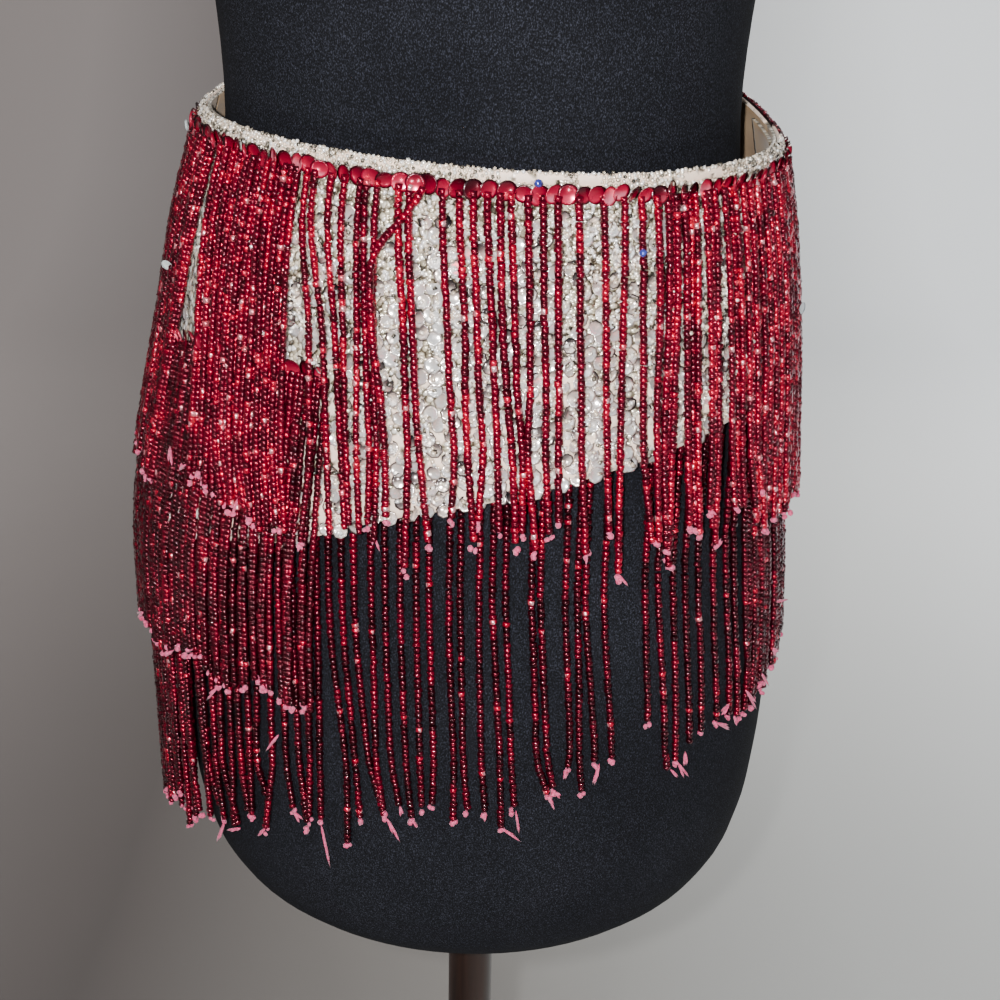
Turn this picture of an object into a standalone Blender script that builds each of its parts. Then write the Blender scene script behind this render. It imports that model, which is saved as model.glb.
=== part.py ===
"""Beaded fringe belt worn on a limbless dress form, at real size.

The frame is in metres with +Z up. The form's axis is the Z axis, its foot stands on Z = 0 and the belt's
front faces -Y. A turn is an angle in degrees round the figure: 0 at the front, 90 at its picture right, 180
at the back. An ease is how far something lies outside a body's section, in metres.
"""
import math
import random
from collections import namedtuple

import bmesh
import bpy
import numpy as np

MM = 0.001

# The dress form and its stand
NECK_TOP = 1.500
FORM_COLUMNS = 48
FORM_RINGS = 31
FORM_BOTTOM = 0.622
FORM_END_CROWDING = 0.75
BUST_HEIGHT = 1.245
BUST_SPREAD = 0.050
BUST_LOBE = 0.16
CAP_RADIUS = 0.0515
CAP_THICKNESS = 0.009
CAP_SHOULDER = 0.93
CAP_CROWN = 0.70
POLE_RADIUS = 0.0125
COLLAR_RADIUS = 0.024
COLLAR_HEIGHT = 0.016
COLLAR_MOUTH = 1.25 * POLE_RADIUS
COLLAR_FLARE = 0.6 * COLLAR_HEIGHT
FOOT_RADIUS = 0.178
FOOT_EDGE = 0.010
FOOT_HUB_RADIUS = 0.030
FOOT_HUB_HEIGHT = 0.034
FOOT_SLOPE = 4.0 * MM
FOOT_ROUND = 2.0 * MM
HUB_SKIRT = 1.6 * FOOT_HUB_RADIUS
HUB_TOP = 0.8 * FOOT_HUB_RADIUS
GAP = 0.3 * MM

# The belt
CLOTH = 1.6 * MM
LEFT_SEAM = -95.0
CLOSURE = 94.0
RIGHT_ROUND = LEFT_SEAM + 360
SEAM_HALF_GAP = 0.075
PANEL_STEP = 5.0
PANEL_ROWS = 9
ROW_CROWDING = 1.7
BAND_HEIGHT = 6.5 * MM
BAND_THICKNESS = 2.6 * MM
BAND_RISE = 1.0 * MM
TAB_FIRST, TAB_LAST = 85.0, 103.0
TAB_TOP_DROP = 3.0 * MM
TAB_HEM_RISE = 9.0 * MM

# The fringe
STRIP_THICKNESS = 1.4 * MM
STRIP_HEIGHT = 3.0 * MM
HEM_STRIP_HEIGHT = 4.0 * MM
HEM_STRIP_RISE = 1.0 * MM
FACET_ROOM = 0.25 * MM
SECOND_ROW_HEIGHT = 0.9490
SECOND_ROW_DIP = 0.0050
SECOND_ROW_MIDDLE = -45.0
SECOND_ROW_END = -24.0
LOCK_WIDTH = 3.6 * MM
LOCK_TIP = 2.4 * MM
LOCK_THICKNESS = 1.6 * MM
LOCK_SHARE = 0.5
FIRST_LENGTH = 0.155
SECOND_LENGTH = 0.158
THIRD_LENGTH = 0.162
LENGTH_SPREAD = 7.0 * MM
FIRST_LIFT = 3.5 * MM
SECOND_LIFT = 1.0 * MM
LIFT_RUN = 0.060
FORM_CLEARANCE = 0.5 * MM
REACH_STEPS = 12

Section = namedtuple("Section", "height left right front back")
Edge = namedtuple("Edge", "turn height")
Tier = namedtuple("Tier", "name first last locks rings root height length ease lift")

# Half widths to the left and right, and depths to the front and back, of the padded form
FORM = (
    Section(FORM_BOTTOM, 0.0600, 0.0600, 0.0500, 0.0500),
    Section(0.630, 0.0960, 0.0960, 0.0740, 0.0800),
    Section(0.644, 0.1200, 0.1200, 0.0920, 0.1000),
    Section(0.664, 0.1365, 0.1365, 0.1030, 0.1130),
    Section(0.690, 0.1455, 0.1455, 0.1100, 0.1210),
    Section(0.725, 0.1503, 0.1503, 0.1140, 0.1260),
    Section(0.770, 0.1520, 0.1520, 0.1160, 0.1280),
    Section(0.820, 0.1500, 0.1500, 0.1150, 0.1250),
    Section(0.870, 0.1450, 0.1450, 0.1110, 0.1180),
    Section(0.920, 0.1380, 0.1380, 0.1060, 0.1090),
    Section(0.970, 0.1290, 0.1290, 0.0990, 0.0980),
    Section(1.010, 0.1205, 0.1205, 0.0920, 0.0900),
    Section(1.045, 0.1170, 0.1170, 0.0880, 0.0860),
    Section(1.095, 0.1190, 0.1190, 0.0900, 0.0880),
    Section(1.150, 0.1270, 0.1270, 0.0980, 0.0950),
    Section(1.200, 0.1360, 0.1360, 0.1100, 0.1000),
    Section(1.250, 0.1460, 0.1460, 0.1230, 0.1030),
    Section(1.300, 0.1510, 0.1510, 0.1120, 0.1040),
    Section(1.345, 0.1550, 0.1550, 0.0970, 0.1010),
    Section(1.380, 0.1500, 0.1500, 0.0830, 0.0920),
    Section(1.405, 0.1270, 0.1270, 0.0710, 0.0800),
    Section(1.425, 0.0920, 0.0920, 0.0610, 0.0680),
    Section(1.445, 0.0640, 0.0640, 0.0540, 0.0580),
    Section(1.470, 0.0530, 0.0530, 0.0500, 0.0520),
    Section(NECK_TOP, 0.0500, 0.0500, 0.0500, 0.0500),
)

# The inner face of the belt's cloth, and below the hem the surface on which the upper tiers lie
BELT = (
    Section(0.680, 0.1690, 0.1580, 0.1190, 0.1312),
    Section(0.760, 0.1690, 0.1580, 0.1190, 0.1312),
    Section(0.800, 0.1690, 0.1570, 0.1180, 0.1288),
    Section(0.855, 0.1670, 0.1540, 0.1145, 0.1225),
    Section(0.905, 0.1580, 0.1500, 0.1120, 0.1160),
    Section(0.955, 0.1465, 0.1455, 0.1085, 0.1090),
    Section(1.005, 0.1355, 0.1385, 0.1035, 0.1025),
    Section(1.035, 0.1265, 0.1325, 0.1000, 0.0985),
    Section(1.055, 0.1212, 0.1290, 0.0980, 0.0962),
    Section(1.075, 0.1190, 0.1270, 0.0965, 0.0948),
)

# The upper edge, which dips at the front and rises behind
TOP = (
    Edge(-95, 1.0495),
    Edge(-60, 1.0470),
    Edge(-30, 1.0430),
    Edge(0, 1.0385),
    Edge(30, 1.0355),
    Edge(60, 1.0365),
    Edge(94, 1.0410),
    Edge(125, 1.0530),
    Edge(150, 1.0610),
    Edge(185, 1.0640),
    Edge(225, 1.0580),
    Edge(265, 1.0495),
)

# The cut lower edge of the cloth, deep at picture left and slanting up to the closure
HEM = (
    Edge(-95, 0.857),
    Edge(-65, 0.859),
    Edge(-50, 0.864),
    Edge(-30, 0.873),
    Edge(-14, 0.889),
    Edge(5, 0.901),
    Edge(22, 0.911),
    Edge(43, 0.922),
    Edge(60, 0.931),
    Edge(94, 0.946),
    Edge(130, 0.938),
    Edge(180, 0.908),
    Edge(225, 0.877),
    Edge(265, 0.857),
)


def clear_scene():
    """Remove what the start-up file holds"""
    for item in list(bpy.data.objects):
        bpy.data.objects.remove(item, do_unlink=True)


def material(name, colour, roughness, metallic=0.0):
    """A plain finish with the colour, roughness and metallic value of the piece"""
    made = bpy.data.materials.new(name)
    made.use_nodes = True
    shader = made.node_tree.nodes["Principled BSDF"]
    shader.inputs["Base Color"].default_value = (*colour, 1.0)
    shader.inputs["Roughness"].default_value = roughness
    shader.inputs["Metallic"].default_value = metallic
    return made


def smooth_read(places, values, place):
    """Read a smooth curve through a table's values at a place"""
    places = np.asarray(places, float)
    values = np.asarray(values, float)
    slopes = np.gradient(values, places)
    place = min(max(place, places[0]), places[-1])
    row = min(int(np.searchsorted(places, place, side="right")) - 1, len(places) - 2)
    span = places[row + 1] - places[row]
    part = (place - places[row]) / span
    rise = part * part * (3 - 2 * part)
    start_pull = part * (1 - part) ** 2 * span
    end_pull = -part * part * (1 - part) * span
    level = values[row] * (1 - rise) + values[row + 1] * rise
    return float(level + slopes[row] * start_pull + slopes[row + 1] * end_pull)


def section_at(table, height):
    """The left, right, front and back reach of a table's body at a height"""
    heights = [row.height for row in table]
    return np.array([smooth_read(heights, [getattr(row, side) for row in table], height)
                     for side in ("left", "right", "front", "back")])


def edge_height(table, turn):
    """Height at a turn of an edge that runs once round the belt"""
    turn = turn if turn >= LEFT_SEAM else turn + 360
    return smooth_read([row.turn for row in table], [row.height for row in table], turn)


def hem_height(turn):
    """Height of the cloth's lower edge at a turn"""
    return edge_height(HEM, turn)


def top_height(turn):
    """Height of the cloth's upper edge at a turn"""
    return edge_height(TOP, turn)


def around(reach, turn, height, ease=0.0):
    """A point at a turn on a section's rounded outline, with an ease"""
    left, right, front, back = reach
    angle = math.radians(turn)
    across = (right if math.sin(angle) >= 0 else left) + ease
    deep = (front if math.cos(angle) >= 0 else back) + ease
    return (across * math.sin(angle), -deep * math.cos(angle), height)


def bust_swell(turn, height):
    """How much the form's front section swells in two soft lobes at bust height"""
    angle = math.radians(turn)
    if math.cos(angle) <= 0:
        return 0.0
    band = math.exp(-((height - BUST_HEIGHT) / BUST_SPREAD) ** 2)
    return BUST_LOBE * band * math.sin(2 * angle) ** 2 * math.cos(angle)


def lay_faces(mesh_work, grid, closed):
    """Join rows of vertices with quads, from the first row to the last"""
    count = len(grid[0])
    for lower, upper in zip(grid, grid[1:]):
        for column in range(count if closed else count - 1):
            after = (column + 1) % count
            mesh_work.faces.new((lower[column], lower[after], upper[after], upper[column]))


def finish_solid(name, mesh_work, finish, smooth=True, sharp=40.0):
    """Turn a bmesh into a named object with its faces pointing out"""
    bmesh.ops.recalc_face_normals(mesh_work, faces=mesh_work.faces)
    mesh = bpy.data.meshes.new(name)
    mesh_work.to_mesh(mesh)
    mesh_work.free()
    mesh.materials.append(finish)
    if smooth:
        mesh.shade_smooth()
        mesh.set_sharp_from_angle(angle=math.radians(sharp))
    piece = bpy.data.objects.new(name, mesh)
    bpy.context.scene.collection.objects.link(piece)
    return piece


def turned(name, profile, steps, finish):
    """A solid of revolution about the Z axis, from (radius, height) pairs that end on the axis"""
    mesh_work = bmesh.new()
    verts = [mesh_work.verts.new((radius, 0.0, height)) for radius, height in profile]
    edges = [mesh_work.edges.new(pair) for pair in zip(verts, verts[1:])]
    bmesh.ops.spin(mesh_work, geom=verts + edges, cent=(0, 0, 0), axis=(0, 0, 1),
                   angle=2 * math.pi, steps=steps, use_merge=True)
    bmesh.ops.remove_doubles(mesh_work, verts=mesh_work.verts, dist=1e-6)
    return finish_solid(name, mesh_work, finish)


def form_body(finish):
    """The padded form: rings through its sections, closed at the neck and the rounded bottom"""
    mesh_work = bmesh.new()
    span = NECK_TOP - FORM_BOTTOM
    grid = []
    for ring in range(FORM_RINGS):
        share = ring / (FORM_RINGS - 1)
        # rings crowd together towards both ends, where the outline turns in
        share -= FORM_END_CROWDING * math.sin(2 * math.pi * share) / (2 * math.pi)
        height = FORM_BOTTOM + span * share
        reach = section_at(FORM, height)
        row = []
        for column in range(FORM_COLUMNS):
            turn = 360 * column / FORM_COLUMNS
            x, y, z = around(reach, turn, height)
            row.append(mesh_work.verts.new((x, y * (1 + bust_swell(turn, height)), z)))
        grid.append(row)
    lay_faces(mesh_work, grid, closed=True)
    mesh_work.faces.new(grid[0])
    mesh_work.faces.new(grid[-1])
    return finish_solid("form_body", mesh_work, finish)


def stand(cover, metal, wood):
    """Neck cap, form, collar, pole and foot, from the top down"""
    form_body(cover)
    cap_base = NECK_TOP + GAP
    cap_top = cap_base + CAP_THICKNESS
    turned("neck_cap", ((0, cap_base), (CAP_RADIUS, cap_base), (CAP_RADIUS, cap_base + CAP_THICKNESS / 2),
                        (CAP_RADIUS * CAP_SHOULDER, cap_top - CAP_THICKNESS / 6),
                        (CAP_RADIUS * CAP_CROWN, cap_top), (0, cap_top)), 32, wood)
    collar_top = FORM_BOTTOM - GAP
    collar_base = collar_top - COLLAR_HEIGHT
    turned("collar", ((0, collar_base), (COLLAR_MOUTH, collar_base),
                      (COLLAR_RADIUS, collar_base + COLLAR_FLARE), (COLLAR_RADIUS, collar_top),
                      (0, collar_top)), 32, metal)
    pole_base = FOOT_HUB_HEIGHT + GAP
    pole_top = collar_base - GAP
    turned("pole", ((0, pole_base), (POLE_RADIUS, pole_base), (POLE_RADIUS, pole_top), (0, pole_top)), 24,
           metal)
    turned("foot", ((0, 0), (FOOT_RADIUS - FOOT_ROUND, 0), (FOOT_RADIUS, FOOT_ROUND),
                    (FOOT_RADIUS, FOOT_EDGE - 1.5 * FOOT_ROUND), (FOOT_RADIUS - FOOT_SLOPE, FOOT_EDGE),
                    (HUB_SKIRT, FOOT_EDGE * 1.7), (FOOT_HUB_RADIUS, FOOT_EDGE * 2.2),
                    (HUB_TOP, FOOT_HUB_HEIGHT), (0, FOOT_HUB_HEIGHT)), 48, metal)


def even_turns(first, last, step):
    """Turns from first to last, an even step of about the given size apart"""
    count = max(1, round((last - first) / step))
    return [first + (last - first) * index / count for index in range(count + 1)]


def wall(turns, lower, upper, rows, inner_ease, outer_ease):
    """A closed wall that follows the belt's form between two edges, as a bmesh.

    lower and upper give an edge's height at a turn. The eases are those of the inner and outer faces.
    """
    mesh_work = bmesh.new()
    faces = []
    for ease in (inner_ease, outer_ease):
        grid = []
        for turn in turns:
            low, high = lower(turn), upper(turn)
            # rows crowd together towards the upper edge, where the outline turns up
            heights = [high - (high - low) * (1 - row / (rows - 1)) ** ROW_CROWDING for row in range(rows)]
            grid.append([mesh_work.verts.new(around(section_at(BELT, height), turn, height, ease))
                         for height in heights])
        faces.append(grid)
    inner, outer = faces
    lay_faces(mesh_work, inner, closed=False)
    lay_faces(mesh_work, outer, closed=False)
    for edge in (0, -1):
        lay_faces(mesh_work, [[column[edge] for column in inner], [column[edge] for column in outer]],
                  closed=False)
        lay_faces(mesh_work, [inner[edge], outer[edge]], closed=False)
    return mesh_work


def panels(cloth):
    """Front and back panels, and the closure's tab behind their meeting edges"""
    for name, first, last in (("panel_front", LEFT_SEAM, CLOSURE), ("panel_back", CLOSURE, RIGHT_ROUND)):
        turns = even_turns(first + SEAM_HALF_GAP, last - SEAM_HALF_GAP, PANEL_STEP)
        finish_solid(name, wall(turns, hem_height, top_height, PANEL_ROWS, 0.0, CLOTH), cloth, sharp=60)
    turns = even_turns(TAB_FIRST, TAB_LAST, PANEL_STEP)
    finish_solid("closure_tab", wall(turns, lambda turn: hem_height(turn) + TAB_HEM_RISE,
                                     lambda turn: top_height(turn) - TAB_TOP_DROP, PANEL_ROWS,
                                     -GAP - CLOTH, -GAP), cloth, sharp=60)


def bands(clear_beads, red_beads):
    """Beaded strips sewn round the outside of the upper edge"""
    for name, first, last, beads in (("band_front", LEFT_SEAM, CLOSURE, clear_beads),
                                     ("band_back", CLOSURE, RIGHT_ROUND, red_beads)):
        turns = even_turns(first + SEAM_HALF_GAP, last - SEAM_HALF_GAP, PANEL_STEP)
        finish_solid(name, wall(turns, lambda turn: top_height(turn) + BAND_RISE - BAND_HEIGHT,
                                lambda turn: top_height(turn) + BAND_RISE, 2,
                                CLOTH + GAP, CLOTH + GAP + BAND_THICKNESS), beads)


def under_band(turn):
    """Lower edge of the strip that carries the first tier"""
    return top_height(turn) + BAND_RISE - BAND_HEIGHT - GAP - STRIP_HEIGHT


def second_row(turn):
    """Lower edge of the strip that carries the second tier"""
    return SECOND_ROW_HEIGHT + SECOND_ROW_DIP * math.cos(math.radians(3 * (turn - SECOND_ROW_MIDDLE)))


def behind_hem(turn):
    """Lower edge of the strip that carries the third tier, just above the hem"""
    return hem_height(turn) + HEM_STRIP_RISE


# A tier's strip runs between two turns, with so many locks of so many rings each. Its ease is how far the
# strip's inner face lies outside the belt's inner face, and its lift is how much further out the locks hang.
OUTSIDE = CLOTH + GAP
BEHIND = -GAP - FACET_ROOM - STRIP_THICKNESS
TIERS = (
    Tier("fringe_1_front", LEFT_SEAM, CLOSURE, 43, 3, under_band, STRIP_HEIGHT, FIRST_LENGTH, OUTSIDE,
         FIRST_LIFT),
    Tier("fringe_1_back", CLOSURE, RIGHT_ROUND, 34, 3, under_band, STRIP_HEIGHT, FIRST_LENGTH, OUTSIDE,
         FIRST_LIFT),
    Tier("fringe_2", LEFT_SEAM, SECOND_ROW_END, 18, 3, second_row, STRIP_HEIGHT, SECOND_LENGTH, OUTSIDE,
         SECOND_LIFT),
    Tier("fringe_3_front", LEFT_SEAM, CLOSURE, 42, 4, behind_hem, HEM_STRIP_HEIGHT, THIRD_LENGTH, BEHIND, 0.0),
    Tier("fringe_3_back", CLOSURE, RIGHT_ROUND, 33, 4, behind_hem, HEM_STRIP_HEIGHT, THIRD_LENGTH, BEHIND, 0.0),
)


def hanging_reach(tier, start, height):
    """The section of a tier's hanging locks: it never turns in, since a lock hangs straight down"""
    reach = section_at(BELT, start) + tier.ease
    for step in range(1, REACH_STEPS + 1):
        here = start + (height - start) * step / REACH_STEPS
        if tier.ease < 0:
            under = section_at(FORM, here) + FORM_CLEARANCE
        else:
            share = min(1.0, (start - here) / LIFT_RUN)
            under = section_at(BELT, here) + tier.ease + tier.lift * share
        reach = np.maximum(reach, under)
    return reach


def lock_corners(tier, turn, start, height, width):
    """Four corners of a lock's ring: inner left, inner right, outer left, outer right"""
    reach = hanging_reach(tier, start, height)
    left, right, front, back = reach
    angle = math.radians(turn)
    speed = math.hypot(max(left, right) * math.cos(angle), max(front, back) * math.sin(angle))
    half = math.degrees(width / 2 / speed)
    corners = []
    for ease in (0.0, LOCK_THICKNESS):
        for side in (-half, half):
            corners.append(around(reach, turn + side, height, ease))
    return corners


def fringe(tier, beads, draw):
    """A narrow strip with locks of beaded strands drawn out of its lower edge"""
    pitch = (tier.last - tier.first) / tier.locks
    turns = []
    for lock in range(tier.locks):
        middle = tier.first + pitch * (lock + 0.5)
        turns += [middle - pitch * LOCK_SHARE / 2, middle + pitch * LOCK_SHARE / 2]
    mesh_work = wall(turns, tier.root, lambda turn: tier.root(turn) + tier.height, 2,
                     tier.ease, tier.ease + STRIP_THICKNESS)
    # wall() makes the inner face's vertices first, a lower and an upper one for each turn
    mesh_work.verts.ensure_lookup_table()
    row = list(mesh_work.verts)
    outer_start = 2 * len(turns)
    for lock in range(tier.locks):
        middle = tier.first + pitch * (lock + 0.5)
        start = tier.root(middle)
        length = tier.length + draw.uniform(-LENGTH_SPREAD, LENGTH_SPREAD)
        places = [4 * lock, 4 * lock + 2, outer_start + 4 * lock, outer_start + 4 * lock + 2]
        ring = [row[place] for place in places]
        for step in range(1, tier.rings + 1):
            width = LOCK_TIP if step == tier.rings else LOCK_WIDTH
            height = start - length * step / tier.rings
            face = mesh_work.faces.get([ring[0], ring[1], ring[3], ring[2]])
            drawn = bmesh.ops.extrude_discrete_faces(mesh_work, faces=[face])["faces"][0]
            before = [vert.co.copy() for vert in ring]
            loose = list(drawn.verts)
            ring = [min(loose, key=lambda vert: (vert.co - place).length) for place in before]
            for vert, corner in zip(ring, lock_corners(tier, middle, start, height, width)):
                vert.co = corner
    return finish_solid(tier.name, mesh_work, beads, smooth=False)


def build():
    """Make every piece of the belt and of the form that it rests on"""
    clear_scene()
    cover = material("black_jersey_cover", (0.011, 0.012, 0.016), 0.9)
    metal = material("dark_painted_steel", (0.018, 0.013, 0.011), 0.35, 0.4)
    wood = material("black_lacquered_wood", (0.012, 0.010, 0.010), 0.3)
    cloth = material("cream_belt_cloth", (0.78, 0.66, 0.52), 0.8)
    clear_beads = material("silver_lined_clear_beads", (0.62, 0.60, 0.54), 0.2)
    red_beads = material("silver_lined_ruby_beads", (0.28, 0.004, 0.015), 0.15)
    stand(cover, metal, wood)
    panels(cloth)
    bands(clear_beads, red_beads)
    draw = random.Random(11)
    for tier in TIERS:
        fringe(tier, red_beads, draw)


build()
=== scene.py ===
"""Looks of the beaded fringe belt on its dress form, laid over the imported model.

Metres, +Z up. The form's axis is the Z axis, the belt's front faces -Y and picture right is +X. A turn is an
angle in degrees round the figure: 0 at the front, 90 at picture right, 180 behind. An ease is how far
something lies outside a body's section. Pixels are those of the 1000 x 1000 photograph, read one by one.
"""

import math
from collections import namedtuple

import bmesh
import bpy
import numpy as np
from mathutils import Matrix


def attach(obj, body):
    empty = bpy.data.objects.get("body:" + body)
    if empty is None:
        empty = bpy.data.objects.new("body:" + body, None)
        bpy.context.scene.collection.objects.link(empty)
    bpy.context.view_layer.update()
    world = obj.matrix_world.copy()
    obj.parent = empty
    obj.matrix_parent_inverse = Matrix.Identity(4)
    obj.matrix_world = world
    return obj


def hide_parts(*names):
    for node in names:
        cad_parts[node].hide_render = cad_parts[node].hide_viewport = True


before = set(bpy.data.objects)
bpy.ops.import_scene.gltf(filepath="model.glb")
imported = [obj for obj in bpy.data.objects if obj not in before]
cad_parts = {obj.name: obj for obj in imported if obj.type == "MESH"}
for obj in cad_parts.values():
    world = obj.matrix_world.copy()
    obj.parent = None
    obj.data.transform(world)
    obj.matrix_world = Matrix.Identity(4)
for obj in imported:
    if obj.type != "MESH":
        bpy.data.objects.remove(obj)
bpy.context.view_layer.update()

MM = 0.001
SEED = 7

# The photograph's camera
SENSOR = 36.0
FOCAL = 1.5
PITCH = 23.0
ROLL = 1.25
EYE = (0.0115, -0.700, 1.150)

# The dress form and its stand
NECK_TOP = 1.500
FORM_BOTTOM = 0.622
FORM_COLUMNS = 80
FORM_ROWS = 100
FORM_WIDEST = 0.770
BUST_HEIGHT = 1.245
BUST_SPREAD = 0.050
BUST_LOBE = 0.16
CAP_RADIUS = 0.0515
CAP_THICKNESS = 0.009
POLE_RADIUS = 0.0125
COLLAR_RADIUS = 0.024
COLLAR_HEIGHT = 0.016
FOOT_RADIUS = 0.178
FOOT_EDGE = 0.010
FOOT_HUB_RADIUS = 0.030
FOOT_HUB_HEIGHT = 0.034
GAP = 0.3 * MM

# The belt's cloth and bands
CLOTH = 1.6 * MM
LEFT_SEAM = -95.0
CLOSURE = 94.0
RIGHT_ROUND = LEFT_SEAM + 360
SEAM_HALF_GAP = 0.075
FRONT_TURNS = (LEFT_SEAM + SEAM_HALF_GAP, CLOSURE - SEAM_HALF_GAP)
BACK_TURNS = (CLOSURE + SEAM_HALF_GAP, RIGHT_ROUND - SEAM_HALF_GAP)
BAND_HEIGHT = 6.5 * MM
BAND_RISE = 1.0 * MM
TAB_FIRST, TAB_LAST = 85.0, 103.0
TAB_TOP_DROP = 3.0 * MM
TAB_HEM_RISE = 9.0 * MM
SECOND_ROW_HEIGHT = 0.9490
SECOND_ROW_DIP = 0.0050
SECOND_ROW_MIDDLE = -45.0
SECOND_ROW_END = -24.0
RED_BAND_FIRST, RED_BAND_LAST = 85.0, 205.0

# Beads, sequins and threads
RED_BEAD = 3.25 * MM
WIDE_RED_BEAD = 3.55 * MM
RED_PITCH = 2.5 * MM
CLEAR_BEAD = 1.8 * MM
CLEAR_PITCH = 1.85 * MM
RED_SEQUIN = 8.8 * MM
RED_SEQUIN_PITCH = 5.2 * MM
SILVER_SEQUIN = 7.6 * MM
SILVER_PITCH = 5.9 * MM
OPEN_FIRST, OPEN_LAST = -48.0, 66.0
FIRST_LENGTH = 0.155
THIRD_LENGTH = 0.162
LENGTH_SPREAD = 7.0 * MM

# Radii in metres that turn a length along the belt into a turn
BAND_RADIUS = 0.115
SEQUIN_ROW_RADIUS = 0.118
BEAD_ROW_RADIUS = 0.125
PANEL_RADIUS = 0.128
CUT_RADIUS = 0.130

# How far apart in turns the strands hang: crowded at the front's sides, looser at the back
FIRST_STEP_LEFT, FIRST_STEP_RIGHT, FIRST_STEP_BACK = 1.05, 1.2, 1.45
SECOND_STEP = 1.06
THIRD_STEP_FRONT, THIRD_STEP_BACK = 1.3, 1.75

# How far the strands stand off the cloth's inner face: those seen one by one, those half hidden, and the
# one that slants over the rest
SEEN_EASE = 5.8 * MM
HIDDEN_EASE = 4.2 * MM
CROSSING_EASE = 8.0 * MM
SECOND_EASE = 3.1 * MM

# Short rows of clear beads, rows of silver sequins, and the turns at which the band's satin shows bare
BEAD_ROWS = 3700
SEQUIN_ROWS = 36
BARE_BAND = ((4, 14), (17, 21), (38, 48))

# The studio: a floor that sweeps up into a wall
SWEEP_WIDTH = 16.0
SWEEP_NEAR = -5.0
SWEEP_WALL = 4.6
SWEEP_BEND = 1.5
SWEEP_TOP = 2.5

Section = namedtuple("Section", "height left right front back")
Edge = namedtuple("Edge", "turn height")
Places = namedtuple("Places", "centres axes tones")
Pattern = namedtuple("Pattern", "points faces shades")

# Half widths to the left and right, and depths to the front and back, of the padded form
FORM = (
    Section(FORM_BOTTOM, 0.0600, 0.0600, 0.0500, 0.0500),
    Section(0.630, 0.0960, 0.0960, 0.0740, 0.0800),
    Section(0.644, 0.1200, 0.1200, 0.0920, 0.1000),
    Section(0.664, 0.1365, 0.1365, 0.1030, 0.1130),
    Section(0.690, 0.1455, 0.1455, 0.1100, 0.1210),
    Section(0.725, 0.1503, 0.1503, 0.1140, 0.1260),
    Section(FORM_WIDEST, 0.1520, 0.1520, 0.1160, 0.1280),
    Section(0.820, 0.1500, 0.1500, 0.1150, 0.1250),
    Section(0.870, 0.1450, 0.1450, 0.1110, 0.1180),
    Section(0.920, 0.1380, 0.1380, 0.1060, 0.1090),
    Section(0.970, 0.1290, 0.1290, 0.0990, 0.0980),
    Section(1.010, 0.1205, 0.1205, 0.0920, 0.0900),
    Section(1.045, 0.1170, 0.1170, 0.0880, 0.0860),
    Section(1.095, 0.1190, 0.1190, 0.0900, 0.0880),
    Section(1.150, 0.1270, 0.1270, 0.0980, 0.0950),
    Section(1.200, 0.1360, 0.1360, 0.1100, 0.1000),
    Section(1.250, 0.1460, 0.1460, 0.1230, 0.1030),
    Section(1.300, 0.1510, 0.1510, 0.1120, 0.1040),
    Section(1.345, 0.1550, 0.1550, 0.0970, 0.1010),
    Section(1.380, 0.1500, 0.1500, 0.0830, 0.0920),
    Section(1.405, 0.1270, 0.1270, 0.0710, 0.0800),
    Section(1.425, 0.0920, 0.0920, 0.0610, 0.0680),
    Section(1.445, 0.0640, 0.0640, 0.0540, 0.0580),
    Section(1.470, 0.0530, 0.0530, 0.0500, 0.0520),
    Section(NECK_TOP, 0.0500, 0.0500, 0.0500, 0.0500),
)

# The inner face of the belt's cloth, and below the hem the surface on which the upper tiers lie
BELT = (
    Section(0.680, 0.1690, 0.1580, 0.1190, 0.1312),
    Section(0.760, 0.1690, 0.1580, 0.1190, 0.1312),
    Section(0.800, 0.1690, 0.1570, 0.1180, 0.1288),
    Section(0.855, 0.1670, 0.1540, 0.1145, 0.1225),
    Section(0.905, 0.1580, 0.1500, 0.1120, 0.1160),
    Section(0.955, 0.1465, 0.1455, 0.1085, 0.1090),
    Section(1.005, 0.1355, 0.1385, 0.1035, 0.1025),
    Section(1.035, 0.1265, 0.1325, 0.1000, 0.0985),
    Section(1.055, 0.1212, 0.1290, 0.0980, 0.0962),
    Section(1.075, 0.1190, 0.1270, 0.0965, 0.0948),
)

# The upper edge, which dips at the front and rises behind
TOP = (
    Edge(-95, 1.0495), Edge(-60, 1.0470), Edge(-30, 1.0430), Edge(0, 1.0385), Edge(30, 1.0355),
    Edge(60, 1.0365), Edge(94, 1.0412), Edge(125, 1.0570), Edge(150, 1.0655), Edge(185, 1.0680),
    Edge(225, 1.0600), Edge(265, 1.0495),
)

# The cut lower edge of the cloth, deep at picture left and slanting up to the closure
HEM = (
    Edge(-95, 0.857), Edge(-65, 0.859), Edge(-50, 0.864), Edge(-30, 0.873), Edge(-14, 0.889), Edge(5, 0.901),
    Edge(22, 0.911), Edge(43, 0.922), Edge(60, 0.931), Edge(94, 0.946), Edge(130, 0.938), Edge(180, 0.908),
    Edge(225, 0.877), Edge(265, 0.857),
)

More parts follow.
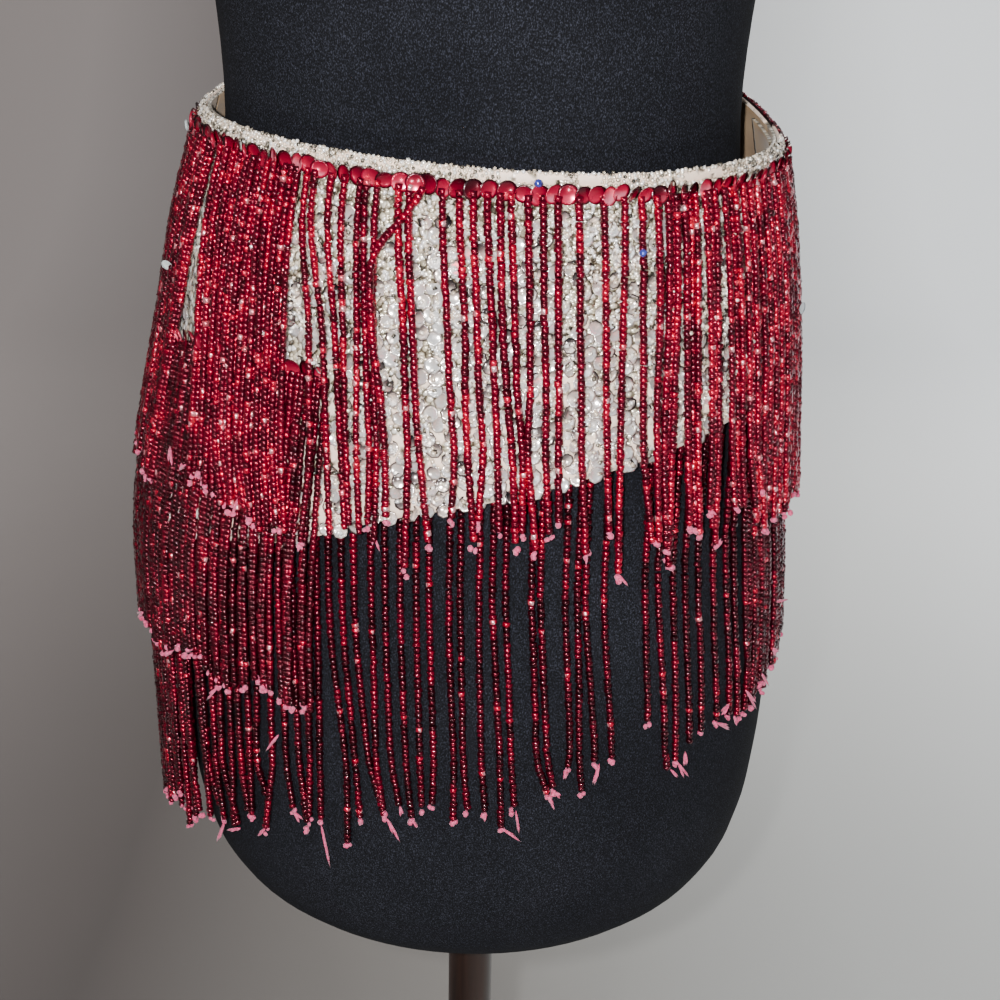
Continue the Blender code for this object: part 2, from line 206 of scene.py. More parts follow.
# First tier, where single strands can be told apart: picture x on four rows of pixels, then the knot
FIRST_ROWS = (213, 320, 400, 450)
FIRST_SEEN = (
    (207, 198, 193, 191, 188, 480), (214, 206, 203, 201, 200, 474), (222, 213, 209, 207, 205, 486),
    (230, 219, 216, 215, 223, 507), (237, 225, 222, 222, 234, 505), (244, 233, 229, 229, 232, 512),
    (251, 241, 237, 235, 246, 512), (259, 252, 248, 246, 251, 520), (266, 259, 257, 256, 260, 533),
    (278, 268, 265, 264, 268, 522), (285, 276, 273, 272, 277, 530), (291, 284, 281, 281, 285, 537),
    (302, 309, 309, 311, 300, 545), (310, 322, 325, 327, 330, 541), (327, 334, 338, 341, 345, 533),
    (341, 343, 344, 346, 349, 528), (357, 357, 356, 356, 360, 538), (364, 365, 367, 370, 368, 530),
    (375, 373, 374, 377, 374, 545), (397, 403, 405, 408, 405, 571), (408, 412, 415, 419, 429, 547),
    (442, 447, 450, 455, 451, 521), (459, 465, 465, 467, 474, 547), (473, 477, 479, 484, 478, 526),
    (487, 492, 495, 497, 499, 534), (500, 502, 507, 512, 516, 549), (511, 515, 517, 523, 522, 536),
    (528, 530, 530, 527, 536, 555), (543, 544, 546, 545, 549, 536), (558, 558, 559, 558, 559, 525),
    (579, 580, 581, 581, 586, 556), (604, 606, 606, 607, 609, 534), (625, 623, 621, 620, 618, 578),
    (642, 643, 643, 643, 652, 542), (658, 660, 657, 657, 659, 544), (669, 669, 665, 664, 666, 550),
    (677, 677, 674, 672, 668, 568), (685, 687, 687, 688, 690, 530), (696, 698, 698, 698, 700, 538),
    (706, 711, 712, 712, 709, 514), (716, 718, 719, 719, 715, 546), (726, 731, 732, 732, 735, 509),
    (737, 742, 743, 742, 745, 510), (745, 749, 750, 750, 757, 524), (752, 757, 758, 758, 762, 491),
)
# One strand slants across the panel and joins the bundle to its left
CROSSING = (
    (430, 182), (411, 209), (380, 242), (370, 251), (370, 300), (373, 350), (381, 400), (385, 450), (386, 520),
)

# Knots of the second tier, along the lower outline of its crowd
SECOND_ENDS = (
    (143, 615), (151, 623), (156, 636), (162, 649), (175, 652), (190, 652), (198, 649), (208, 671), (217, 688),
    (240, 689), (252, 678), (262, 682), (286, 712), (306, 707), (324, 710), (338, 696),
)

# Third tier: picture x on three rows of pixels, then the knot
THIRD_ROWS = (600, 642, 764)
THIRD_SEEN = (
    (198, 200, 208, 222, 807), (208, 210, 216, 225, 820), (217, 219, 222, 240, 826),
    (226, 228, 232, 234, 829), (233, 235, 241, 249, 815), (244, 246, 250, 252, 817),
    (257, 258, 256, 268, 797), (267, 269, 273, 265, 829), (281, 283, 286, 294, 811),
    (293, 294, 299, 308, 827), (304, 306, 310, 309, 820), (317, 318, 320, 321, 822),
    (329, 331, 347, 348, 846), (342, 344, 356, 361, 821), (354, 356, 369, 386, 818),
    (371, 373, 376, 384, 812), (385, 386, 391, 400, 807), (400, 401, 406, 412, 820),
    (416, 417, 420, 422, 810), (429, 430, 434, 432, 808), (449, 449, 454, 453, 822),
    (460, 461, 463, 468, 812), (479, 479, 481, 485, 812), (492, 494, 500, 501, 828),
    (505, 507, 511, 515, 811), (531, 533, 536, 549, 796), (540, 542, 547, 555, 791),
    (565, 566, 570, 565, 771), (577, 578, 579, 582, 793), (585, 587, 595, 599, 763),
    (604, 605, 612, 617, 759), (645, 646, 647, 647, 726), (658, 660, 665, 670, 771),
    (673, 674, 675, 676, 764), (685, 686, 689, 688, 748), (698, 700, 700, 704, 731),
    (713, 714, 716, 718, 723), (726, 728, 728, 727, 718), (734, 736, 736, 735, 720),
    (745, 746, 752, 752, 704),
)
# The third tier's outermost strands at picture left, each through pixels of its own
THIRD_LEFT = (
    ((162, 662), (168, 743), (165, 754)),
    ((170, 690), (174, 740), (184, 793)),
    ((182, 682), (192, 760), (201, 815)),
)
# Stray pieces that hang among the strands
PAILLETTES = ((187, 125), (167, 265), (802, 308))
BLUE_BEADS = ((538, 183), (643, 253))
# Loose thread ends: from a knot to the tip of its tail
TAILS = (
    (165, 754, 155, 760), (225, 821, 218, 842), (240, 828, 233, 832), (265, 829, 259, 836),
    (321, 824, 330, 864), (294, 812, 302, 822), (387, 818, 400, 840), (400, 807, 402, 813),
    (413, 820, 416, 825), (485, 813, 483, 820), (501, 828, 521, 840), (516, 811, 520, 832),
    (549, 797, 551, 806), (555, 792, 558, 798), (566, 768, 563, 779), (599, 764, 592, 788),
    (671, 770, 676, 775), (678, 763, 686, 775), (685, 752, 684, 764), (717, 723, 729, 731),
    (729, 704, 721, 714), (734, 716, 735, 724), (746, 690, 754, 706), (762, 674, 765, 684),
    (773, 648, 777, 654), (777, 602, 784, 599), (143, 612, 140, 618), (208, 671, 209, 676),
    (217, 688, 208, 701), (278, 735, 270, 749), (187, 655, 191, 657), (300, 541, 301, 552),
    (372, 530, 377, 549), (131, 412, 143, 404), (233, 513, 240, 500), (180, 470, 188, 462),
    (170, 447, 174, 462), (618, 574, 624, 584), (586, 548, 588, 562), (709, 509, 712, 519),
    (690, 529, 700, 533), (715, 549, 718, 541), (789, 454, 797, 459), (796, 486, 803, 487),
    (651, 543, 659, 540),
)

# Soft swells of the worn cloth: turn, width in degrees, and depth as a share of 0.7 mm
FOLDS = (
    (-78, 9, 0.8), (-52, 7, 0.5), (-33, 6, 0.7), (-12, 8, 0.4), (14, 7, 0.7), (38, 9, 0.4), (66, 8, 0.7),
    (112, 8, 0.7), (138, 10, 0.5), (163, 8, 0.8), (192, 11, 0.5), (221, 8, 0.8), (246, 9, 0.5),
)


def smooth_curve(places, values, count=600):
    """Many points of a smooth curve through a table's values"""
    places = np.asarray(places, float)
    values = np.asarray(values, float)
    slopes = np.gradient(values, places)
    fine = np.linspace(places[0], places[-1], count)
    row = np.clip(np.searchsorted(places, fine, side="right") - 1, 0, len(places) - 2)
    span = places[row + 1] - places[row]
    part = (fine - places[row]) / span
    rise = part * part * (3 - 2 * part)
    level = values[row] * (1 - rise) + values[row + 1] * rise
    level += slopes[row] * part * (1 - part) ** 2 * span
    level -= slopes[row + 1] * part * part * (1 - part) * span
    return fine, level


FORM_SIDES = [smooth_curve([row.height for row in FORM], [row[side] for row in FORM]) for side in range(1, 5)]
BELT_SIDES = [smooth_curve([row.height for row in BELT], [row[side] for row in BELT]) for side in range(1, 5)]
TOP_EDGE = smooth_curve([row.turn for row in TOP], [row.height for row in TOP])
HEM_EDGE = smooth_curve([row.turn for row in HEM], [row.height for row in HEM])


def reach_of(sides, height):
    """The left, right, front and back reach of a body at one height or many"""
    return np.array([np.interp(height, *side) for side in sides])


def edge_height(edge, turn):
    """Height at a turn of an edge that runs once round the belt"""
    turn = (np.asarray(turn, float) - LEFT_SEAM) % 360 + LEFT_SEAM
    return np.interp(turn, *edge)


def top_height(turn):
    """Height of the cloth's upper edge at a turn"""
    return edge_height(TOP_EDGE, turn)


def hem_height(turn):
    """Height of the cloth's lower edge at a turn"""
    return edge_height(HEM_EDGE, turn)


def tab_hem(turn):
    """Height of the underlap's lower edge"""
    return hem_height(turn) + TAB_HEM_RISE


def tab_top(turn):
    """Height of the underlap's upper edge"""
    return top_height(turn) - TAB_TOP_DROP


def under_band(turn):
    """Height just under the beaded band, where the first tier hangs"""
    return top_height(turn) + BAND_RISE - BAND_HEIGHT - 2.6 * MM


def sequins_under_band(turn):
    """Height of the middles of the red sequins that cover the strands' roots"""
    return under_band(turn) + 0.8 * MM


def third_root(turn):
    """Height at which the third tier is sewn behind the hem"""
    return hem_height(turn) + 2.0 * MM


def second_row(turn):
    """Height of the row that carries the second tier"""
    return SECOND_ROW_HEIGHT + SECOND_ROW_DIP * np.cos(np.radians(3 * (turn - SECOND_ROW_MIDDLE)))


def around(reach, turn, height, ease=0.0):
    """Points at some turns on a section's rounded outline, with an ease"""
    left, right, front, back = reach
    angle = np.radians(turn)
    across = np.where(np.sin(angle) >= 0, right, left) + ease
    deep = np.where(np.cos(angle) >= 0, front, back) + ease
    return np.stack(np.broadcast_arrays(across * np.sin(angle), -deep * np.cos(angle), height), axis=-1)


def laid(height, turn):
    """Reach of the cloth, and below its hem of the air on which the upper tiers lie"""
    return reach_of(BELT_SIDES, height)


def hung(height, turn):
    """Reach of the third tier's strands, which hang straight down behind the hem"""
    under_cloth = reach_of(BELT_SIDES, hem_height(turn)) - 1.6 * MM
    over_form = reach_of(FORM_SIDES, np.maximum(height, FORM_WIDEST)) + 1.2 * MM
    # at picture right the strands bunch up and stand off the form
    off = np.exp(-((np.asarray(turn, float) - 95) / 28) ** 2) * 4.0 * MM
    return np.maximum(under_cloth, over_form) + off


def camera_axes():
    """The camera's right, up and forward directions"""
    pitch, roll = math.radians(PITCH), math.radians(ROLL)
    level = np.array((1.0, 0.0, 0.0))
    upright = np.array((0.0, math.sin(pitch), math.cos(pitch)))
    forward = np.array((0.0, math.cos(pitch), -math.sin(pitch)))
    right = math.cos(roll) * level + math.sin(roll) * upright
    up = math.cos(roll) * upright - math.sin(roll) * level
    return right, up, forward


def seen_at(pixel_x, pixel_y, surface, ease):
    """Turn and height where the ray through a pixel of the photograph meets a surface"""
    right, up, forward = camera_axes()
    ray = forward + right * (pixel_x / 1000 - 0.5) / FOCAL - up * (pixel_y / 1000 - 0.5) / FOCAL
    points = np.array(EYE) + np.linspace(0.45, 0.95, 2400)[:, None] * ray
    turns = np.zeros(len(points))
    for _ in range(2):
        left, wide, front, back = surface(points[:, 2], turns)
        across = np.where(points[:, 0] >= 0, wide, left) + ease
        deep = np.where(points[:, 1] <= 0, front, back) + ease
        turns = np.degrees(np.arctan2(points[:, 0] / across, -points[:, 1] / deep))
    outside = np.hypot(points[:, 0] / across, points[:, 1] / deep)
    first = int(np.argmin(outside)) if outside.min() > 1 else int(np.argmax(outside <= 1))
    return turns[first], points[first, 2]


def colour(code):
    """Linear colour of an sRGB hex code"""
    parts = [int(code[place:place + 2], 16) / 255 for place in (0, 2, 4)]
    return [part / 12.92 if part <= 0.04045 else ((part + 0.055) / 1.055) ** 2.4 for part in parts] + [1.0]


def add(tree, kind, values=None, links=None, stops=None, **settings):
    """Add a node with its settings, socket values, links and, on a ramp, its stops"""
    made = tree.nodes.new(kind)
    for name, value in settings.items():
        setattr(made, name, value)
    for socket, value in (values or {}).items():
        made.inputs[socket].default_value = value
    for socket, source in (links or {}).items():
        tree.links.new(source, made.inputs[socket])
    for index, (place, code) in enumerate(stops or ()):
        element = made.color_ramp.elements[index] if index < 2 else made.color_ramp.elements.new(place)
        element.position = place
        element.color = colour(code)
    return made


def new_material(name, **sockets):
    """A material with its tree and its shader, whose constant sockets are set"""
    made = bpy.data.materials.new(name)
    made.use_nodes = True
    shader = made.node_tree.nodes["Principled BSDF"]
    for socket, value in sockets.items():
        shader.inputs[socket.replace("_", " ")].default_value = value
    return made, made.node_tree, shader


def jersey_cover():
    """Black cotton jersey stretched over padding: matt, with a fine knit and pale flecks of lint"""
    made, tree, shader = new_material("black_cotton_jersey", Roughness=0.95, Specular_IOR_Level=0.15)
    place = add(tree, "ShaderNodeTexCoord").outputs["Object"]
    # knitted wales about 0.5 mm apart, drawn a little longer than they are wide
    upright = add(tree, "ShaderNodeMapping", {"Scale": (1.0, 1.0, 0.6)}, {"Vector": place}).outputs["Vector"]
    wales = add(tree, "ShaderNodeTexNoise", {"Scale": 2000.0, "Detail": 1.0, "Roughness": 0.6},
                {"Vector": upright}).outputs["Fac"]
    cloudy = add(tree, "ShaderNodeTexNoise", {"Scale": 14.0, "Detail": 3.0}, {"Vector": place}).outputs["Fac"]
    yarn = add(tree, "ShaderNodeValToRGB", links={"Fac": wales},
               stops=((0.36, "0A0A0D"), (0.76, "363842"), (0.54, "14151A"))).outputs["Color"]
    worn = add(tree, "ShaderNodeValToRGB", links={"Fac": cloudy},
               stops=((0.3, "C4C6CC"), (0.7, "FFFFFF"))).outputs["Color"]
    mixed = add(tree, "ShaderNodeMix", {0: 1.0}, {6: yarn, 7: worn}, data_type="RGBA", blend_type="MULTIPLY")
    tree.links.new(mixed.outputs[2], shader.inputs["Base Color"])
    bump = add(tree, "ShaderNodeBump", {"Strength": 0.35, "Distance": 0.3 * MM}, {"Height": wales})
    tree.links.new(bump.outputs["Normal"], shader.inputs["Normal"])
    return made


def stand_metal():
    """Steel tube with a dark brown baked paint: satin, with faint rubbed streaks"""
    made, tree, shader = new_material("brown_baked_steel", Metallic=0.35, Coat_Weight=0.4, Coat_Roughness=0.2)
    place = add(tree, "ShaderNodeTexCoord").outputs["Object"]
    streak = add(tree, "ShaderNodeMapping", {"Scale": (1.0, 1.0, 0.06)}, {"Vector": place}).outputs["Vector"]
    rub = add(tree, "ShaderNodeTexNoise", {"Scale": 160.0, "Detail": 4.0}, {"Vector": streak}).outputs["Fac"]
    tone = add(tree, "ShaderNodeValToRGB", links={"Fac": rub}, stops=((0.3, "17100D"), (0.8, "3A241C")))
    gloss = add(tree, "ShaderNodeMapRange", {"To Min": 0.28, "To Max": 0.45}, {"Value": rub})
    tree.links.new(tone.outputs["Color"], shader.inputs["Base Color"])
    tree.links.new(gloss.outputs["Result"], shader.inputs["Roughness"])
    return made


def cap_wood():
    """Turned beech under black lacquer: glossy, with the grain just showing"""
    made, tree, shader = new_material("black_lacquered_beech", Coat_Weight=0.7, Coat_Roughness=0.12)
    place = add(tree, "ShaderNodeTexCoord").outputs["Object"]
    along = add(tree, "ShaderNodeMapping", {"Scale": (1.0, 0.12, 1.0)}, {"Vector": place}).outputs["Vector"]
    grain = add(tree, "ShaderNodeTexNoise", {"Scale": 420.0, "Detail": 4.0}, {"Vector": along}).outputs["Fac"]
    tone = add(tree, "ShaderNodeValToRGB", links={"Fac": grain}, stops=((0.3, "0C0A0A"), (0.8, "241C19")))
    gloss = add(tree, "ShaderNodeMapRange", {"To Min": 0.25, "To Max": 0.4}, {"Value": grain})
    bump = add(tree, "ShaderNodeBump", {"Strength": 0.15, "Distance": 0.2 * MM}, {"Height": grain})
    tree.links.new(tone.outputs["Color"], shader.inputs["Base Color"])
    tree.links.new(gloss.outputs["Result"], shader.inputs["Roughness"])
    tree.links.new(bump.outputs["Normal"], shader.inputs["Normal"])
    return made


def beaded_share(tree, place):
    """Where the satin is sown with beads: 1 there and 0 on bare cloth, of which there is more near the hem"""
    patches = add(tree, "ShaderNodeTexNoise", {"Scale": 130.0, "Detail": 1.5}, {"Vector": place}).outputs["Fac"]
    up = add(tree, "ShaderNodeSeparateXYZ", links={"Vector": place}).outputs["Y"]
    level = add(tree, "ShaderNodeMapRange", {"From Max": 0.11, "To Min": -0.16, "To Max": 0.25}, {"Value": up})
    sown = add(tree, "ShaderNodeMath", {}, {0: patches, 1: level.outputs["Result"]}, operation="ADD").outputs[0]
    share = add(tree, "ShaderNodeMapRange", {"From Min": 0.42, "From Max": 0.50}, {"Value": sown})
    return share.outputs["Result"]


def belt_satin():
    """Cream duchess satin sewn over with clear seed beads: glassy grains with painted shade at their edges, and
    bare soft patches low down
    """
    made, tree, shader = new_material("beaded_cream_duchess_satin", Sheen_Weight=0.2, Sheen_Roughness=0.4)
    place = add(tree, "ShaderNodeTexCoord").outputs["UV"]
    # one grain for each sewn bead, 1.8 mm across
    grains = add(tree, "ShaderNodeTexVoronoi", {"Scale": 1 / CLEAR_BEAD}, {"Vector": place})
    grain = add(tree, "ShaderNodeSeparateColor", links={"Color": grains.outputs["Color"]}).outputs["Red"]
    glassy = add(tree, "ShaderNodeValToRGB", links={"Fac": grain},
                 stops=((0.0, "3C3830"), (1.0, "FFFFFF"), (0.2, "8C8270"), (0.5, "D8CCB2"), (0.8, "F8F0DC")))
    # painted shade: each grain darkens towards its edge, where shade falls in the gaps between the beads
    edge = add(tree, "ShaderNodeValToRGB", links={"Fac": grains.outputs["Distance"]},
               stops=((0.45, "FFFFFF"), (0.8, "6A6258"))).outputs["Color"]
    beaded = add(tree, "ShaderNodeMix", {0: 1.0}, {6: glassy.outputs["Color"], 7: edge}, data_type="RGBA",
                 blend_type="MULTIPLY").outputs[2]
    # a warped wave that breaks up into bands of about 0.35 mm, coarser than real satin threads so that it shows
    weave = add(tree, "ShaderNodeTexWave", {"Scale": 900.0, "Distortion": 1.5, "Detail": 1.0},
                {"Vector": place}).outputs["Fac"]
    cloth = add(tree, "ShaderNodeValToRGB", links={"Fac": weave}, stops=((0.2, "E8CCB6"), (0.8, "F8E2D0")))
    share = beaded_share(tree, place)
    tone = add(tree, "ShaderNodeMix", {}, {0: share, 6: cloth.outputs["Color"], 7: beaded},
               data_type="RGBA").outputs[2]
    gloss = add(tree, "ShaderNodeMapRange", {"To Min": 0.55, "To Max": 0.16}, {"Value": share})
    mirror = add(tree, "ShaderNodeMapRange", {"To Min": 0.0, "To Max": 0.35}, {"Value": share})
    dome = add(tree, "ShaderNodeMath", {}, {0: grains.outputs["Distance"], 1: share}, operation="MULTIPLY")
    bump = add(tree, "ShaderNodeBump", {"Strength": 0.9, "Distance": 1.0 * MM}, {"Height": dome.outputs[0]},
               invert=True)
    fine = add(tree, "ShaderNodeBump", {"Strength": 0.15, "Distance": 0.1 * MM},
               {"Height": weave, "Normal": bump.outputs["Normal"]})
    tree.links.new(tone, shader.inputs["Base Color"])
    tree.links.new(gloss.outputs["Result"], shader.inputs["Roughness"])
    tree.links.new(mirror.outputs["Result"], shader.inputs["Metallic"])
    tree.links.new(fine.outputs["Normal"], shader.inputs["Normal"])
    return made


def shaded_tan_lining():
    """Tan lining on the cloth's inner face, its darker tan a painted shade of the belt's shadowed inside: matt,
    with its threads 0.85 mm apart and faint age marks
    """
    made, tree, shader = new_material("tan_lining_painted_shade", Roughness=0.9, Sheen_Weight=0.15)
    place = add(tree, "ShaderNodeTexCoord").outputs["UV"]
    weave = add(tree, "ShaderNodeTexWave", {"Scale": 520.0, "Distortion": 1.0}, {"Vector": place},
                bands_direction="DIAGONAL").outputs["Fac"]
    marks = add(tree, "ShaderNodeTexNoise", {"Scale": 30.0, "Detail": 4.0}, {"Vector": place}).outputs["Fac"]
    # painted shade: the inner face is painted a darker tan than the cream satin outside
    tone = add(tree, "ShaderNodeValToRGB", links={"Fac": marks}, stops=((0.3, "73593E"), (0.7, "9A8060")))
    bump = add(tree, "ShaderNodeBump", {"Strength": 0.3, "Distance": 0.15 * MM}, {"Height": weave})
    tree.links.new(tone.outputs["Color"], shader.inputs["Base Color"])
    tree.links.new(bump.outputs["Normal"], shader.inputs["Normal"])
    return made


def toned_material(name, stops, **sockets):
    """A material whose colour follows its piece's tone attribute through a ramp"""
    made, tree, shader = new_material(name, **sockets)
    tone = add(tree, "ShaderNodeAttribute", attribute_name="tone").outputs["Fac"]
    ramp = add(tree, "ShaderNodeValToRGB", links={"Fac": tone}, stops=stops)
    tree.links.new(ramp.outputs["Color"], shader.inputs["Base Color"])
    return made


def bead_glass(name, stops, metallic, roughness, coat=1.0):
    """Silver-lined glass seed beads: a mirror of coloured metal inside a clear glossy skin"""
    return toned_material(name, stops, Metallic=metallic, Roughness=roughness, Coat_Weight=coat,
                          Coat_Roughness=0.08)


def ruby_glass():
    """Ruby silver-lined beads: blood red inside, with painted shade darkening their ends and painted pink
    glints on a few of them
    """
    return bead_glass("ruby_silver_lined_glass",
                      # the ramp's dark end serves the painted shade at the holes, its pink-white end the
                      # painted glints
                      ((0.0, "180008"), (1.0, "FFC8CC"), (0.25, "420012"), (0.45, "660020"), (0.66, "92002C"),
                       (0.82, "C40034"), (0.92, "F02850")), 0.75, 0.19, 0.4)


def clear_glass():
    """Clear silver-lined beads: grey to white, with a faint painted warm cast that stands for the satin's light
    seen through them
    """
    return bead_glass("clear_silver_lined_glass",
                      ((0.0, "302D28"), (1.0, "FFFFFF"), (0.2, "8C8476"), (0.45, "F0DCC4"), (0.75, "FFF5E6")),
                      0.4, 0.14)


def blue_glass():
    """Cobalt silver-lined beads, strays from another string"""
    return bead_glass("cobalt_silver_lined_glass", ((0.0, "0A0A50"), (1.0, "5A6AE0")), 0.5, 0.2)


def silver_film():
    """Sequins stamped from silver polyester film: mirror bright, each one tilted its own way"""
    return toned_material("silver_polyester_film",
                          ((0.0, "1C1A1C"), (1.0, "FFFFFF"), (0.35, "8A7E7C"), (0.62, "F8E8DC")),
                          Metallic=0.65, Roughness=0.16, Coat_Weight=0.6)


def ruby_film():
    """Sequins stamped from clear red film: coral at the light end of its tone as painted light coming through,
    maroon where painted shade darkens the rim
    """
    return toned_material("ruby_clear_film",
                          ((0.0, "120006"), (1.0, "FF90A4"), (0.3, "440012"), (0.55, "8A0228"),
                           (0.8, "C01C44")),
                          Roughness=0.22, Coat_Weight=0.5, Metallic=0.45)


def clear_film():
    """Paillettes of iridescent clear film: pale blue-green, glossy and half see-through"""
    return toned_material("clear_iridescent_film", ((0.0, "B8D8D4"), (1.0, "FFFFFF")), Roughness=0.08,
                          Transmission_Weight=0.5, Thin_Film_Thickness=420.0)


def pink_thread():
    """Waxed pink polyester thread, knotted and cut: matt, with its twist just showing"""
    made, tree, shader = new_material("pink_polyester_thread", Roughness=0.7, Sheen_Weight=0.3)
    place = add(tree, "ShaderNodeTexCoord").outputs["Object"]
    twist = add(tree, "ShaderNodeTexNoise", {"Scale": 900.0, "Detail": 2.0}, {"Vector": place}).outputs["Fac"]
    tone = add(tree, "ShaderNodeValToRGB", links={"Fac": twist}, stops=((0.3, "A82450"), (0.7, "E05A88")))
    bump = add(tree, "ShaderNodeBump", {"Strength": 0.4, "Distance": 0.2 * MM}, {"Height": twist})
    tree.links.new(tone.outputs["Color"], shader.inputs["Base Color"])
    tree.links.new(bump.outputs["Normal"], shader.inputs["Normal"])
    return made


def backdrop_painted_light_and_shade(name):
    """Matt studio paint with painted light and shade across it: painted shade darkens it to a brownish grey at
    picture left, and painted light turns it to a cool pale grey at picture right
    """
    made, tree, shader = new_material(name, Roughness=0.95, Specular_IOR_Level=0.2)
    place = add(tree, "ShaderNodeTexCoord").outputs["Object"]
    across = add(tree, "ShaderNodeSeparateXYZ", links={"Vector": place}).outputs["X"]
    cloud = add(tree, "ShaderNodeTexNoise", {"Scale": 2.0, "Detail": 2.0}, {"Vector": place}).outputs["Fac"]
    shifted = add(tree, "ShaderNodeMath", {1: 0.06}, {0: cloud, 2: across}, operation="MULTIPLY_ADD").outputs[0]
    share = add(tree, "ShaderNodeMapRange", {"From Min": -1.30, "From Max": 1.30}, {"Value": shifted})
    # the ramp across X paints shade at picture left, deepest a little left of the form, and light towards
    # picture right
    tone = add(tree, "ShaderNodeValToRGB", links={"Fac": share.outputs["Result"]},
               stops=((0.0, "9A9492"), (1.0, "F0F1EF"), (0.34, "605B59"), (0.5, "8A8783"), (0.68, "BFC0BD")))
    tree.links.new(tone.outputs["Color"], shader.inputs["Base Color"])
    return made


def link_piece(name, mesh, slot, *finishes, smooth=True, replaced=()):
    """Put a mesh into the scene as a piece that rides on the root body"""
    for finish in finishes:
        mesh.materials.append(finish)
    if smooth:
        mesh.shade_smooth()
    piece = bpy.data.objects.new(name, mesh)
    bpy.context.scene.collection.objects.link(piece)
    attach(piece, "root")
    if replaced:
        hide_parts(*replaced)
    return piece


def mesh_from(name, work):
    """Turn a bmesh into a mesh"""
    mesh = bpy.data.meshes.new(name)
    work.to_mesh(mesh)
    work.free()
    return mesh


def warped_grid(columns, rows, place, width, height):
    """A grid bent to a shape. place(u, v) gives a point for shares of its width and height"""
    work = bmesh.new()
    bmesh.ops.create_grid(work, x_segments=columns, y_segments=rows, size=0.5)
    cloth_map = work.loops.layers.uv.new("cloth")
    for face in work.faces:
        for loop in face.loops:
            share = loop.vert.co
            loop[cloth_map].uv = ((share.x + 0.5) * width, (share.y + 0.5) * height)
    for vert in work.verts:
        vert.co = place(vert.co.x + 0.5, vert.co.y + 0.5)
    return work


def spun(name, profile, steps, slot, finish, replaced):
    """A turned piece about the Z axis, from (radius, height) pairs that start and end on the axis"""
    work = bmesh.new()
    verts = [work.verts.new((radius, 0.0, height)) for radius, height in profile]
    edges = [work.edges.new(pair) for pair in zip(verts, verts[1:])]
    bmesh.ops.spin(work, geom=verts + edges, cent=(0, 0, 0), axis=(0, 0, 1), angle=2 * math.pi, steps=steps,
                   use_merge=True)
    bmesh.ops.remove_doubles(work, verts=work.verts, dist=1e-6)
    bmesh.ops.recalc_face_normals(work, faces=work.faces)
    mesh = mesh_from(name, work)
    piece = link_piece(name, mesh, slot, finish, replaced=replaced)
    mesh.set_sharp_from_angle(angle=math.radians(35))
    return piece


def bust_swell(turn, height):
    """How much the form's front section swells in two soft lobes at bust height"""
    angle = math.radians(turn)
    if math.cos(angle) <= 0:
        return 0.0
    band = math.exp(-((height - BUST_HEIGHT) / BUST_SPREAD) ** 2)
    return BUST_LOBE * band * math.sin(2 * angle) ** 2 * math.cos(angle)


def form_cover(finish):
    """The padded form under its jersey, closed at the neck and at its rounded bottom"""
    span = NECK_TOP - FORM_BOTTOM

    def on_form(u, v):
        # rows crowd together towards both ends, where the outline turns in
        height = FORM_BOTTOM + span * (v - 0.75 * math.sin(2 * math.pi * v) / (2 * math.pi))
        turn = 360 * u
        x, y, z = around(reach_of(FORM_SIDES, height), turn, height)
        return x, y * (1 + bust_swell(turn, height)), z

    work = warped_grid(FORM_COLUMNS, FORM_ROWS, on_form, 0.9, span)
    bmesh.ops.remove_doubles(work, verts=work.verts, dist=1e-6)
    rims = [edge for edge in work.edges if edge.is_boundary]
    bmesh.ops.holes_fill(work, edges=rims, sides=0)
    bmesh.ops.recalc_face_normals(work, faces=work.faces)
    mesh = mesh_from("form_cover", work)
    piece = link_piece("form_cover", mesh, "form_cover", finish, replaced=("form_body",))
    mesh.set_sharp_from_angle(angle=math.radians(50))
    return piece


def neck_cap(wood):
    """The low lacquered cap that closes the neck"""
    base = NECK_TOP + GAP
    top = base + CAP_THICKNESS
    profile = ((0, base), (CAP_RADIUS - 1 * MM, base), (CAP_RADIUS, base + 1 * MM),
               (CAP_RADIUS, base + CAP_THICKNESS * 0.5), (CAP_RADIUS * 0.975, base + CAP_THICKNESS * 0.75),
               (CAP_RADIUS * 0.90, top - CAP_THICKNESS * 0.08), (CAP_RADIUS * 0.7, top), (0, top))
    spun("neck_cap_turned", profile, 96, "cap_wood", wood, ("neck_cap",))


def collar(metal):
    """The turned collar under the form"""
    top = FORM_BOTTOM - GAP
    base = top - COLLAR_HEIGHT
    profile = ((0, base), (POLE_RADIUS * 1.25, base), (COLLAR_RADIUS - 1 * MM, top - COLLAR_HEIGHT * 0.45),
               (COLLAR_RADIUS, top - COLLAR_HEIGHT * 0.36), (COLLAR_RADIUS, top - 0.6 * MM),
               (COLLAR_RADIUS - 0.6 * MM, top), (0, top))
    spun("collar_turned", profile, 64, "stand_metal", metal, ("collar",))


def pole(metal):
    """The straight tube from the foot's hub to the collar"""
    base = FOOT_HUB_HEIGHT + GAP
    top = FORM_BOTTOM - GAP - COLLAR_HEIGHT - GAP
    profile = ((0, base), (POLE_RADIUS, base), (POLE_RADIUS, top), (0, top))
    spun("pole_tube", profile, 64, "stand_metal", metal, ("pole",))


